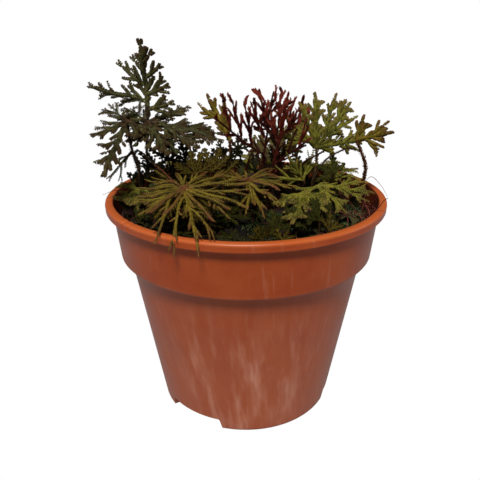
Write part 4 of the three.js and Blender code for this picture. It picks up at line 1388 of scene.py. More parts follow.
    def strip(self, line, upper, half, free, start, age):
        """A simple toothed blade along a rib, for small sprays."""
        lengths = lengths_of(line)
        total = lengths[-1]
        count = max(3, round((total - start) / STRIP_STEP))
        where = np.linspace(start, total, count + 1)
        points = at_lengths(line, where)
        ahead = directions(points)
        up = square_to(read_along(upper, lengths, where), ahead)
        width = np.full(count + 1, half)
        width[1::2] *= STRIP_TOOTH
        if free:
            width *= np.clip(STRIP_TIP + (total - where) / (2 * half), 0, 1)
        width *= self.random.uniform(*STRIP_WIDTHS, count + 1)
        width = width[:, None]
        across = np.cross(up, ahead)
        forward = ahead * (np.arange(count + 1) % 2 == 0)[:, None] * STRIP_STEP / 2
        middle = points + up * STRIP_RIDGE * width
        under = points - up * STRIP_UNDER * width
        left = points + forward + across * width
        right = points + forward - across * width
        ring = np.stack([left, middle, right, under], axis=1)
        faces = []
        is_under = []
        for i in range(count):
            for k in range(4):
                a, b = i * 4 + k, i * 4 + (k + 1) % 4
                faces += [(a, b + 4, b), (a, a + 4, b + 4)]
                is_under += [k > 1, k > 1]
        last = count * 4
        faces += [(0, 1, 2), (0, 2, 3), (last, last + 2, last + 1), (last, last + 3, last + 2)]
        is_under += [False, True, False, True]
        leaf = np.empty((len(ring) * 4, 3))
        leaf[:, :2] = np.tile(STRIP_LEAF, (len(ring), 1))
        # Painted shade: each strip's tone is pushed down towards the deep colour
        leaf[:, 2] = self.random.random() - STRIP_PAINTED_SHADE
        growth = np.zeros((len(faces), 3))
        growth[:, 0] = is_under
        growth[:, 2] = age
        self.add(ring.reshape(-1, 3), np.array(faces), leaf, growth)

    def stalk(self, line, radius, age):
        """A stem with ranks of narrow scales that stand off it."""
        random = self.random
        total = lengths_of(line)[-1]
        where = np.linspace(0, total, max(4, round(total / STALK_RING)) + 1)
        share = (where / total)[:, None]
        sway = random.normal(0, STALK_SWAY, (2, 3)) * min(1, total / LONG_STALK)
        points = at_lengths(line, where)
        points = points + sway[:1] * np.sin(math.pi * share) + sway[1:] * np.sin(2 * math.pi * share)
        ahead = directions(points)
        up = square_to(unit(STALK_FACE), ahead)
        stem = radius * STEM_SHARE
        self.add_tube(points, up, np.full(len(points), stem), age, 1.0, sides=7)
        count = max(2, round(total / SCALE_STEP))
        for rank in range(SCALE_RANKS):
            places = (np.arange(count) + rank / SCALE_RANKS) * total / count
            feet = at_lengths(points, places)
            forward = unit(read_along(ahead, where, places))
            side = square_to(read_along(up, where, places), forward)
            turn = (rank * 360 / SCALE_RANKS + random.normal(0, SCALE_TURN_SWAY, count)) * DEGREE
            out = side * np.cos(turn)[:, None] + np.cross(forward, side) * np.sin(turn)[:, None]
            lean = (SCALE_ANGLE + random.normal(0, SCALE_LEAN_SWAY, count))[:, None] * DEGREE
            heading = unit(forward * np.cos(lean) + out * np.sin(lean))
            size = SCALE_LENGTH * min(1, radius / THICK_STALK) * random.uniform(*SCALE_LENGTHS, count)
            base = feet + out * stem * SCALE_INSET
            scale_age = np.full(count, age)
            self.add_leaves(SCALE, base, heading, out, size, size * SCALE_WIDTH, scale_age, SCALE_WOODY)

    def mesh(self, name):
        made = new_mesh(name, np.concatenate(self.points) * MM, np.concatenate(self.faces))
        store(made, "leaf", "POINT", np.concatenate(self.leaf))
        store(made, "growth", "FACE", np.concatenate(self.growth))
        made.set_sharp_from_angle(angle=LEAF_CREASE * DEGREE)
        return made


def new_mesh(name, points, faces):
    """A smooth mesh of triangles."""
    mesh = bpy.data.meshes.new(name)
    mesh.vertices.add(len(points))
    mesh.vertices.foreach_set("co", np.ascontiguousarray(points, dtype=np.float32).ravel())
    mesh.loops.add(3 * len(faces))
    mesh.loops.foreach_set("vertex_index", np.ascontiguousarray(faces, dtype=np.int32).ravel())
    mesh.polygons.add(len(faces))
    mesh.polygons.foreach_set("loop_start", np.arange(0, 3 * len(faces), 3, dtype=np.int32))
    mesh.update(calc_edges=True)
    mesh.shade_smooth()
    return mesh


def store(mesh, name, domain, values):
    attribute = mesh.attributes.new(name, "FLOAT_VECTOR", domain)
    attribute.data.foreach_set("vector", np.ascontiguousarray(values, dtype=np.float32).ravel())


def new_object(name, data):
    made = bpy.data.objects.new(name, data)
    bpy.context.scene.collection.objects.link(made)
    return made


def add_piece(name, mesh, material, slot, *nodes):
    """A piece of the plant or its pot, which stands for those solids."""
    piece = new_object(name, mesh)
    mesh.materials.append(material)
    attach(piece, "root")
    if nodes:
        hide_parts(*nodes)


def dress_plant(plant, seed):
    """One mesh of all the leaves, ribs and stalks of a plant."""
    look = look_of(plant)
    foliage = Foliage(seed)
    for line in plant["lines"]:
        foliage.stalk(line, plant["radius"], look["stalk_age"])
    for sheet, blade in zip(plant["sheets"], plant["blades"]):
        drawn = []
        for one in blade.lines:
            foliage.shade = sheet.get("shade", 0) + foliage.random.uniform(*LINE_SHADES)
            dress_line(foliage, blade, one, look, sheet.get("aged", 0), drawn)
    if "shade_backing" in plant:
        add_shade_backing(foliage, plant, look)
    if "loose" in plant:
        add_loose_rays(foliage, plant, look)
    return foliage.mesh(plant["name"] + "_leaves")


def dress_line(foliage, blade, one, look, aged, drawn):
    """Dresses a rib or lobe, carried along with the one that it grows on. A red spray's stems stay bare."""
    plan = one["plan"]
    short, gain = SHORT_LINE
    half = one["half"] * look["reach"] * min(1, short + gain * lengths_of(plan)[-1])
    line, upper = lay_on_sheet(foliage, blade.sheet, plan, look, one["half"] < blade.half)
    line = line + shift_at(drawn, plan[0])
    drawn.append(shifts_along(blade.sheet, plan, line))
    start = 0 if np.hypot(*plan[0]) < AT_FOOT else LEAF_START * half
    reach = np.hypot(*plan.mean(axis=0))
    age = look["age"] + look["age_rate"] * reach + aged
    if reach < look.get("bare", 0):
        foliage.stalk(line, BARE_SHARE * half, age)
        return
    foliage.dress(line, upper, half, look, one["free"], start, min(age, OLDEST))
    if one["free"] and "fingers" in look:
        add_finger(foliage, line, upper, look)
    if start == 0:
        base = lengths_of(line) < BARE_BASE
        share, woody = look["base"]
        foliage.add_tube(line[base], upper[base], np.full(base.sum(), share * half), age, woody)


def add_shade_backing(foliage, plant, look):
    """Painted shade: a dark spray close under one of the plant's sheets, turned a little about its middle."""
    blade = plant["blades"][plant["shade_backing"]]
    for one in blade.lines:
        plan = turned(one["plan"], np.zeros(2), BACKING_TURN) * BACKING_SHARE
        line, upper = lay_on_sheet(foliage, blade.sheet, plan, look, one["half"] < blade.half)
        line = line - upper * BACKING_DEPTH
        foliage.strip(line, upper, one["half"] * look["reach"], one["free"], 0, look["age"])


def add_finger(foliage, line, upper, look):
    """A curled finger that stands up from a free end, on some of the ends."""
    random = foliage.random
    lowest, highest = FINGER_HEIGHTS
    if not lowest < line[-1][2] < highest or random.random() > FINGER_SHARE:
        return
    middle = len(line) // 2
    heading = unit(line[-1] - line[0]) + random.normal(0, FINGER_SPREAD, 3) + np.array([0, 0, FINGER_SPREAD])
    length = random.uniform(*look["fingers"])
    finger = wander(random, line[middle], heading, length, FINGER_CURL, FINGER_PULL, FINGER_STEPS)
    facing = unit(upper[middle] + random.normal(0, FINGER_ROLL, 3))
    half = random.uniform(*FINGER_HALF)
    foliage.dress(finger, np.tile(facing, (len(finger), 1)), half, look, age=random.uniform(*FINGER_AGES))


def add_loose_rays(foliage, plant, look):
    """Single rays that rise a little over the first sheet. Those to its front are the longest."""
    count, shortest, longest, lean = plant["loose"]
    blade = plant["blades"][0]
    random = foliage.random
    for i in range(count):
        turn = 360 * i / count + random.normal(0, RAY_SWAY)
        ahead = (1 + math.cos((turn - lean) * DEGREE)) / 2
        reach = (shortest + (longest - shortest) * ahead) * random.uniform(*RAY_REACHES)
        heading = (turn + random.normal(0, RAY_BEND) * RAY_SHARES) * DEGREE
        plan = reach * RAY_SHARES * np.hstack([np.cos(heading), np.sin(heading)])
        line, upper = lay_on_sheet(foliage, blade.sheet, plan, look, False)
        along = (lengths_of(line) / lengths_of(line)[-1])[:, None]
        rise = random.uniform(*RAY_RISES) * np.sin(math.pi * along * random.uniform(*RAY_CRESTS))
        foliage.shade = random.uniform(*RAY_SHADES)
        half = RAY_HALF * blade.half * look["reach"]
        foliage.dress(line + upper * rise, upper, half, look, age=random.uniform(*RAY_AGES))


def smooth_plan(plan):
    if len(plan) > 2:
        return smooth_line(plan, steps=4)
    return plan[0] + (plan[1] - plan[0]) * STRAIGHT_SHARES


def shifts_along(sheet, plan, line):
    """Places along a line's plan, and how far the drawn line lies from the sheet there."""
    smooth = smooth_plan(plan)
    shift = line - sheet.place(smooth[:, 0], smooth[:, 1])
    lengths = lengths_of(smooth)
    where = np.arange(0, lengths[-1] + SHIFT_STEP, SHIFT_STEP)
    return read_along(np.hstack([smooth, shift]), lengths, where)


def shift_at(drawn, place):
    """How far a line is carried off the sheet by the line that it starts on."""
    if not drawn:
        return np.zeros(3)
    known = np.concatenate(drawn)
    distance = np.hypot(*(known[:, :2] - place).T)
    nearest = distance.argmin()
    return known[nearest, 2:] if distance[nearest] < PARENT_REACH else np.zeros(3)


def lay_on_sheet(foliage, sheet, plan, look, is_branch):
    """The plan's line as a smooth line in space, with the sheet's upper side at each point. A branch bends
    a little out of the sheet."""
    line, upper = sheet.lay(smooth_plan(plan))
    if is_branch:
        reach = lengths_of(line)[:, None]
        line = line + upper * foliage.random.normal(look["bend"], look["bend_spread"]) * reach ** 2
        upper = square_to(upper, directions(line))
    return line, upper


# Pot


def arc(centre_radius, centre_height, radius, start, end, steps):
    angles = np.linspace(start, end, steps + 1) * DEGREE
    return [(centre_radius + radius * math.cos(a), centre_height + radius * math.sin(a)) for a in angles]


def between(start, end, share):
    return start + (end - start) * share


def pot_inner_radius(height):
    if height > COLLAR_BOTTOM + STEP_HEIGHT / 2:
        share = (height - COLLAR_BOTTOM) / (POT_HEIGHT - LIP_HEIGHT - COLLAR_BOTTOM)
        return between(COLLAR_BOTTOM_RADIUS, COLLAR_TOP_RADIUS, share) - WALL
    return between(FOOT_RADIUS, BODY_TOP_RADIUS, height / COLLAR_BOTTOM) - WALL


def body_radius(height):
    top = COLLAR_BOTTOM - STEP_HEIGHT / 2 - STEP_ROUND
    return between(FOOT_RADIUS, BODY_TOP_RADIUS, height / top)


def pot_profile():
    """The wall's outline from the floor's underside round the foot, up the outside and down the inside.
    Small offsets make its corners round."""
    foot_inside = FOOT_RADIUS - FOOT_WALL
    floor_top = FOOT_HEIGHT + FLOOR
    step_top = COLLAR_BOTTOM + STEP_HEIGHT / 2
    step_foot = COLLAR_BOTTOM - STEP_HEIGHT / 2
    lip_foot = POT_HEIGHT - LIP_HEIGHT
    collar = [
        (between(COLLAR_BOTTOM_RADIUS, COLLAR_TOP_RADIUS, share), between(step_top, lip_foot, share))
        for share in COLLAR_RINGS
    ]
    inside_top = POT_HEIGHT - 1.6
    inside = (inside_top, step_top + 0.01, COLLAR_BOTTOM - STEP_HEIGHT, MIDDLE_RING, floor_top + 1.2)
    return [
        (foot_inside - 1.2, FOOT_HEIGHT),
        (foot_inside - 0.4, FOOT_HEIGHT - 0.4),
        (foot_inside, FOOT_HEIGHT - 1.2),
        (foot_inside, 3),
        (foot_inside, 1.5),
        (foot_inside, 0.3),
        (foot_inside + 0.3, 0),
        (FOOT_RADIUS - 0.3, 0),
        *[(body_radius(height), height) for height in BODY_RINGS],
        (BODY_TOP_RADIUS, step_foot - STEP_ROUND),
        (BODY_TOP_RADIUS + 0.5, step_foot - 0.1),
        (COLLAR_BOTTOM_RADIUS - 1.2, COLLAR_BOTTOM - 0.25),
        (COLLAR_BOTTOM_RADIUS - 0.5, COLLAR_BOTTOM + 0.1),
        (COLLAR_BOTTOM_RADIUS - 0.1, COLLAR_BOTTOM + 0.6),
        (COLLAR_BOTTOM_RADIUS, step_top),
        *collar,
        (COLLAR_TOP_RADIUS, lip_foot - 0.4),
        (COLLAR_TOP_RADIUS + 0.4, lip_foot),
        (RIM_RADIUS - 0.7, lip_foot),
        (RIM_RADIUS - 0.25, lip_foot + 0.15),
        (RIM_RADIUS - 0.1, lip_foot + 0.5),
        (RIM_RADIUS - 0.2, lip_foot + 0.85),
        *arc(RIM_RADIUS - LIP_ROUND, POT_HEIGHT - LIP_ROUND, LIP_ROUND, 0, 90, 5),
        (COLLAR_TOP_RADIUS + 0.6, POT_HEIGHT + 0.05),
        (MOUTH_RADIUS, POT_HEIGHT - 0.25),
        (pot_inner_radius(inside_top) + 0.15, POT_HEIGHT - 0.9),
        *[(pot_inner_radius(height), height) for height in inside],
        (pot_inner_radius(floor_top) - 1.2, floor_top),
    ]


def pot_angles():
    """Directions round the pot in degrees from its front, closer together at the gaps and creases."""
    angles = set(np.round(np.arange(POT_STEPS) * 360 / POT_STEPS, 3))
    for middle in FOOT_GAPS:
        for edge in (middle - FOOT_GAP_ANGLE / 2, middle + FOOT_GAP_ANGLE / 2):
            angles.update(np.round((edge + FINE_ANGLES) % 360, 3))
    for direction, _, _ in CREASES:
        angles.update(np.round((direction + FINE_ANGLES * CREASE_ANGLES) % 360, 3))
    return np.array(sorted(angles))


def degrees_from(angles, direction):
    return (angles - direction + 180) % 360 - 180


def gap_height(angles):
    """How far the foot's edge is raised in each direction: the full height in a gap, with short slopes."""
    height = np.zeros(len(angles))
    slope = GAP_SLOPE / FOOT_RADIUS / DEGREE
    for middle in FOOT_GAPS:
        away = np.abs(degrees_from(angles, middle))
        share = np.clip((FOOT_GAP_ANGLE / 2 + slope / 2 - away) / slope, 0, 1)
        height = np.maximum(height, FOOT_HEIGHT * share * share * (3 - 2 * share))
    return height


def make_pot_mesh():
    """The wall's outline swept round the axis, raised in the foot's gaps and dented at the creases."""
    profile = np.array(pot_profile())
    angles = pot_angles()
    raised = gap_height(angles)[:, None]
    radius, height = (np.tile(column, (len(angles), 1)) for column in profile.T)
    in_gap = height < raised
    outer = in_gap & (radius > FOOT_RADIUS - FOOT_OUTSIDE)
    radius = np.where(outer, body_radius(raised), radius)
    height = np.where(in_gap, raised, height)
    for direction, depth, width in CREASES:
        away = degrees_from(angles, direction) * DEGREE * RIM_RADIUS
        dent = depth * np.exp(-((away / width) ** 2))[:, None]
        dent = dent * np.clip((height - (POT_HEIGHT - LIP_HEIGHT - CREASE_BELOW_LIP)) / LIP_HEIGHT, 0, 1)
        radius = radius - dent * (radius > MOUTH_RADIUS + 0.1)
        height = height - CREASE_DROP * dent
    turn = (angles * DEGREE)[:, None]
    points = np.stack([radius * np.sin(turn), -radius * np.cos(turn), height], axis=2) * MM
    mesh = bmesh.new()
    rings = [[mesh.verts.new(point) for point in ring] for ring in points]
    under = mesh.verts.new((0, 0, FOOT_HEIGHT * MM))
    floor = mesh.verts.new((0, 0, (FOOT_HEIGHT + FLOOR) * MM))
    for ring, following in zip(rings, rings[1:] + rings[:1]):
        for i in range(len(profile) - 1):
            mesh.faces.new((ring[i], following[i], following[i + 1], ring[i + 1]))
        mesh.faces.new((under, following[0], ring[0]))
        mesh.faces.new((floor, ring[-1], following[-1]))
    bmesh.ops.remove_doubles(mesh, verts=mesh.verts, dist=MERGE_DISTANCE * MM)
    bmesh.ops.recalc_face_normals(mesh, faces=mesh.faces)
    return finished(mesh, "pot_body")


def finished(mesh, name):
    made = bpy.data.meshes.new(name)
    mesh.to_mesh(made)
    mesh.free()
    return made


def drill_floor(mesh):
    """Cuts the drain holes into the pot's floor: a ring of them, and one in the middle."""
    drills = bmesh.new()
    for i in range(DRAIN_HOLES + 1):
        circle = 0 if i == DRAIN_HOLES else DRAIN_CIRCLE
        angle = (i + 0.5) / DRAIN_HOLES * 2 * math.pi
        place = Vector((circle * math.cos(angle), circle * math.sin(angle), FOOT_HEIGHT + FLOOR / 2))
        radius, depth = DRAIN_HOLE_RADIUS * MM, (FLOOR + DRILL_PASS) * MM
        size = dict(segments=DRILL_SIDES, radius1=radius, radius2=radius, depth=depth)
        bmesh.ops.create_cone(drills, cap_ends=True, matrix=Matrix.Translation(place * MM), **size)
    blank = new_object("blank", mesh)
    drill = new_object("drill", finished(drills, "drills"))
    cut = blank.modifiers.new("cut", "BOOLEAN")
    cut.operation = "DIFFERENCE"
    cut.solver = "EXACT"
    cut.object = drill
    bpy.context.view_layer.update()
    depsgraph = bpy.context.evaluated_depsgraph_get()
    drilled = bpy.data.meshes.new_from_object(blank.evaluated_get(depsgraph))
    for each in (blank, drill):
        bpy.data.objects.remove(each)
    drilled.name = "pot_shell"
    drilled.shade_smooth()
    drilled.set_sharp_from_angle(angle=POT_CREASE * DEGREE)
    return drilled


# Compost


def fine_soil_height(x, y):
    ground = soil_height(x, y)
    bend_x, bend_y = GRAIN_BENDS
    rate_x, rate_y = GRAIN_BEND_RATES
    for rate, height in SOIL_GRAIN:
        along_x = np.sin(rate * x + bend_x * np.sin(rate_x * rate * y))
        along_y = np.sin(rate * GRAIN_STRETCH * y + bend_y * np.sin(rate_y * rate * x))
        ground = ground + height * along_x * along_y
    return ground


def make_soil_mesh():
    """The compost as one closed body that fills the pot, with a fine uneven top."""
    edge = pot_inner_radius(SOIL_LEVEL) - FIT_GAP
    floor_top = FOOT_HEIGHT + FLOOR + FIT_GAP
    turn = np.arange(SOIL_STEPS) * 2 * math.pi / SOIL_STEPS
    rings = []
    for radius in [*np.linspace(0, edge - EDGE_STEP, SOIL_RINGS + 1)[1:], edge]:
        x, y = radius * np.cos(turn), radius * np.sin(turn)
        rise = EDGE_RISE * max(0, (radius - edge + EDGE_WIDTH) / EDGE_WIDTH) ** 2
        rings.append((x, y, fine_soil_height(x, y) + rise))
    step_top = COLLAR_BOTTOM + STEP_HEIGHT / 2 + 0.01
    side = [SOIL_LEVEL - SOIL_DEPTH, step_top, COLLAR_BOTTOM - STEP_HEIGHT, floor_top + SOIL_ROUND]
    side = [(pot_inner_radius(height) - FIT_GAP - SOIL_INSET, height) for height in side]
    side.append((pot_inner_radius(floor_top) - FIT_GAP - SOIL_ROUND, floor_top))
    for radius, height in side:
        rings.append((radius * np.cos(turn), radius * np.sin(turn), np.full(SOIL_STEPS, height)))
    points = np.stack([np.stack(ring, axis=1) for ring in rings]).reshape(-1, 3)
    middle = fine_soil_height(0.0, 0.0)
    points = np.vstack([(0, 0, middle), points, (0, 0, floor_top)])
    last = len(points) - 1
    foot = last - SOIL_STEPS
    sides = [(k, (k + 1) % SOIL_STEPS) for k in range(SOIL_STEPS)]
    faces = [(0, 1 + a, 1 + b) for a, b in sides]
    for ring in range(1, foot, SOIL_STEPS):
        below = ring + SOIL_STEPS
        for a, b in sides:
            faces += [(ring + a, below + a, below + b), (ring + a, below + b, ring + b)]
    faces += [(foot + a, last, foot + b) for a, b in sides]
    return new_mesh("soil_body", points * MM, np.array(faces))


def lumps(random, places, sizes):
    """Small irregular closed lumps, one at each place."""
    template = bmesh.new()
    bmesh.ops.create_icosphere(template, subdivisions=1, radius=1)
    ball = np.array([vertex.co for vertex in template.verts])
    faces = np.array([[vertex.index for vertex in face.verts] for face in template.faces])
    template.free()
    count = len(places)
    shape = ball[None] * random.uniform(*CRUMB_BUMPS, (count, len(ball), 1))
    shape = shape * random.uniform(*CRUMB_SIDES, (count, 1, 3)) * np.array(CRUMB_SQUASH)
    points = places[:, None] + shape * sizes[:, None, None]
    numbers = faces[None] + (np.arange(count) * len(ball))[:, None, None]
    return points.reshape(-1, 3), numbers.reshape(-1, 3)


def scatter_on_soil(random, count, reach):
    angle = random.uniform(0, 2 * math.pi, count)
    out = reach * np.sqrt(random.random(count))
    x, y = out * np.cos(angle), out * np.sin(angle)
    return np.stack([x, y, fine_soil_height(x, y)], axis=1)


def make_crumbs():
    random = np.random.default_rng(CRUMB_SEED)
    places = scatter_on_soil(random, CRUMBS, CRUMB_REACH)
    sizes = random.gamma(CRUMB_SHAPE, CRUMB_SCALE, CRUMBS).clip(*CRUMB_SIZES)
    places[:, 2] += sizes * CRUMB_LIFT
    points, faces = lumps(random, places, sizes)
    return new_mesh("compost_crumbs", points * MM, faces)


def make_moss():
    """Tiny upright leaflets in cushions on the compost."""
    foliage = Foliage(MOSS_SEED)
    random = foliage.random
    middles = scatter_on_soil(random, MOSS_CUSHIONS, MOSS_REACH)
    count = MOSS_LEAVES
    which = random.integers(0, MOSS_CUSHIONS, count)
    offset = random.normal(0, MOSS_SPREAD, (count, 2))
    x, y = (middles[which, :2] + offset).T
    scale = np.minimum(1, MOSS_EDGE / np.maximum(np.hypot(x, y), 1))
    x, y = x * scale, y * scale
    crown = MOSS_CROWN * np.exp(-(offset ** 2).sum(axis=1) / MOSS_CROWN_SPREAD)
    feet = np.stack([x, y, fine_soil_height(x, y) + crown], axis=1)
    turn = random.uniform(0, 2 * math.pi, count)
    lean = random.uniform(*MOSS_LEANS, count)
    ahead = np.stack([lean * np.cos(turn), lean * np.sin(turn), np.ones(count)], axis=1)
    upper = np.stack([-np.cos(turn), -np.sin(turn), lean], axis=1)
    size = random.uniform(*MOSS_SIZES, count)
    age = random.random(count)
    foliage.add_leaves(SCALE, feet, unit(ahead), unit(upper), size, size * MOSS_WIDTH, age)
    return foliage.mesh("moss_leaflets")


# Undergrowth and roots


def plan_step(turn, length):
    return length * np.array([math.cos(turn * DEGREE), math.sin(turn * DEGREE)])


def small_plan(random, turns, reach):
    """Plan lines of a small spray: its ribs and their lobes, as lines and shares of the half width."""
    lines = []
    for turn in turns:
        length = reach * random.uniform(*SMALL_REACHES)
        bend = random.normal(0, SMALL_BEND)
        steps = max(3, round(length / SMALL_STEP))
        trail = [np.zeros(2)]
        for i in range(steps):
            trail.append(trail[-1] + plan_step(turn + bend * i / steps, length / steps))
        lines.append((np.array(trail), 1.0))
        for i in range(1, steps):
            for side in (1, -1):
                heading = turn + bend * i / steps + side * random.normal(SMALL_LOBE_TURN, SMALL_LOBE_SWAY)
                first, fade = SMALL_LOBE_LENGTHS
                lobe = length * (first - fade * i / steps) * random.uniform(*SMALL_LOBE_REACHES)
                lines.append((np.array([trail[i], trail[i] + plan_step(heading, lobe)]), SMALL_LOBE_WIDTH))
    return lines


def inside_pot(points):
    radius = np.hypot(points[:, 0], points[:, 1])
    ground = soil_height(points[:, 0], points[:, 1])
    at_wall = (points[:, 2] < POT_HEIGHT + SMALL_OVER_RIM) & (radius > MOUTH_RADIUS - SMALL_WALL_GAP)
    return np.all(points[:, 2] > ground + SOIL_LIFT) and not np.any(at_wall)


def small_spray(foliage, at, along, face, turns, reach, half, look):
    """A spray of a few ribs on a stem that stands in the compost below it."""
    random = foliage.random
    sheet = Sheet(at, along, face, SMALL_CURL, ripple=SMALL_RIPPLE)
    at = np.array(at, float)
    foot_x, foot_y = at[:2] + random.normal(0, SMALL_STEM_LEAN, 2) * (at[2] - SOIL_LEVEL)
    foot = np.array([foot_x, foot_y, soil_height(foot_x, foot_y) - SMALL_STEM_SINK])
    height = at[2] - foot[2]
    if height > SMALL_STEM_LEAST:
        bow = (foot + at) / 2 + random.normal(0, SMALL_STEM_BOW, 3) * height
        foliage.stalk(smooth_line(np.array([foot, bow, at]), steps=5), SMALL_STEM, look["stalk_age"])
    for plan, share in small_plan(random, turns, reach):
        line, upper = lay_on_sheet(foliage, sheet, plan, look, share < 1)
        if inside_pot(line):
            foliage.strip(line, upper, half * share, True, SMALL_START if share < 1 else 0, look["age"])


def flat_spray(foliage, x, y, lift, lean, reach, look):
    """A low spray that spreads over the compost."""
    random = foliage.random
    heading = random.uniform(0, 2 * math.pi)
    along = (math.cos(heading), math.sin(heading), FLAT_RISE)
    sway_x, sway_y = random.normal(0, FLAT_SWAYS)
    turns = FLAT_TURNS + random.normal(0, FLAT_TURN_SWAY, len(FLAT_TURNS))
    at = (x, y, float(soil_height(x, y)) + lift)
    small_spray(foliage, at, along, (sway_x, lean + sway_y, 1.0), turns, reach, UNDER_HALF, look)


def standing_spray(foliage, at, reach, lean, look):
    """A spray that stands up, with its upper side towards lean."""
    random = foliage.random
    along = (*random.normal(0, STANDING_SWAYS), 1.0)
    turns = STANDING_TURNS + random.normal(0, STANDING_TURN_SWAY, len(STANDING_TURNS))
    small_spray(foliage, at, along, lean, turns, reach, look["small_half"], look)


def back_row(kind):
    """Sprays of one kind along the back of the pot, as place, reach and the way they face."""
    sprays = []
    for number, turn in enumerate(np.arange(-BACK_TURN, BACK_TURN + 1, BACK_STEP)):
        if BACK_KINDS[number % len(BACK_KINDS)] == kind:
            radius = BACK_RADII[number % 2]
            sin, cos = math.sin(turn * DEGREE), math.cos(turn * DEGREE)
            at = (radius * sin, radius * cos, SOIL_LEVEL + BACK_LIFT[number % 3])
            sprays.append((at, BACK_REACH[number % 3], (-sin, -cos, BACK_FACE)))
    return sprays


def scattered_sprays(random, count):
    """Places of low sprays over the whole pot: x, y, height over the compost, lean and reach."""
    sprays = []
    while len(sprays) < count:
        angle, out = random.uniform(0, 2 * math.pi), UNDER_REACH * math.sqrt(random.random())
        x, y = out * math.sin(angle), -out * math.cos(angle)
        if all(math.hypot(x - other[0], y - other[1]) > UNDER_GAP for other in sprays):
            spans = (UNDER_LIFTS, UNDER_LEANS, UNDER_REACHES)
            sprays.append((x, y, *[random.uniform(*span) for span in spans]))
    return sprays


def make_undergrowth():
    """Low and small sprays that fill the pot between the tall ones, by kind."""
    made = {}
    for kind, count in UNDERGROWTH.items():
        foliage = Foliage(UNDERGROWTH_SEED + len(made))
        look = LOOKS["rays" if kind == "yellow" else kind]
        for spray in scattered_sprays(foliage.random, count):
            flat_spray(foliage, *spray, look)
        for spray in back_row(kind) + SMALL_SPRAYS[kind]:
            standing_spray(foliage, *spray, look)
        if kind == "yellow":
            turns = np.arange(0, 360, LOWER_RAY_STEP)
            turns = turns + foliage.random.normal(0, LOWER_RAY_SWAY, len(turns))
            small_spray(foliage, *LOWER_RAYS, turns, LOWER_RAY_REACH, LOWER_RAY_HALF, look)
        for knots in ARCHING_STEMS[kind]:
            foliage.stalk(smooth_line(np.array(knots, float), steps=8), ARCH_STEM, look["stalk_age"])
        made[kind] = foliage.mesh("undergrowth_" + kind)
    return made


def wander(random, start, heading, length, sway, pull=0.0, steps=14):
    """The line of a thin root or finger, which strays as it goes and is pulled up or down."""
    points = [np.array(start, float)]
    heading = unit(np.array(heading, float))
    for _ in range(steps):
        heading = unit(heading + random.normal(0, sway, 3) + np.array([0, 0, pull]))
        points.append(points[-1] + heading * length / steps)
    return np.array(points)


def keep_in_pot(line):
    """Pushes a line off the compost and off the pot's wall."""
    radius = np.hypot(line[:, 0], line[:, 1])
    most = MOUTH_RADIUS - ROOT_WALL_GAP
    below = line[:, 2] < POT_HEIGHT + ROOT_OVER_RIM
    scale = np.where(below & (radius > most), most / np.maximum(radius, 1), 1)
    line = line * np.stack([scale, scale, np.ones(len(line))], axis=1)
    line[:, 2] = np.maximum(line[:, 2], fine_soil_height(line[:, 0], line[:, 1]) + SOIL_LIFT)
    return line


def wall_root(random):
    angle = random.uniform(*WALL_ROOT_TURNS) * DEGREE
    sin, cos = math.sin(angle), math.cos(angle)
    start = (WALL_ROOT_RADIUS * sin, -WALL_ROOT_RADIUS * cos, random.uniform(*WALL_ROOT_HEIGHTS))
    side = random.choice([-1, 1])
    heading = (side * cos, side * sin, random.uniform(*WALL_ROOT_RISES))
    length = random.uniform(*WALL_ROOT_LENGTHS)
    return keep_in_pot(wander(random, start, heading, length, WALL_ROOT_SWAY, WALL_ROOT_PULL))


def soil_root(random, place):
    turn = random.uniform(0, 2 * math.pi)
    heading = (math.cos(turn), math.sin(turn), random.uniform(*SOIL_ROOT_RISES))
    length = random.uniform(*SOIL_ROOT_LENGTHS)
    return keep_in_pot(wander(random, place, heading, length, SOIL_ROOT_SWAY, SOIL_ROOT_PULL))


def make_roots():
    """Reddish roots along the right inner wall, fine ones strewn over the compost, and the stray threads."""
    foliage = Foliage(ROOT_SEED)
    random = foliage.random

    def add_threads(lines, radius, age):
        for line in lines:
            upper = np.tile(ROOT_FACE, (len(line), 1))
            foliage.add_tube(line, upper, radius * np.linspace(1, ROOT_TIP, len(line)), age, 1.0, sides=4)

    add_threads([wall_root(random) for _ in range(WALL_ROOTS)], *WALL_THREAD)
    places = scatter_on_soil(random, SOIL_ROOTS, SOIL_ROOT_REACH)
    add_threads([soil_root(random, place) for place in places], *SOIL_THREAD)
    add_threads([smooth_line(np.array(points, float), steps=6) for points in STRAYS], *STRAY_THREAD)
    return foliage.mesh("root_threads")


# Materials


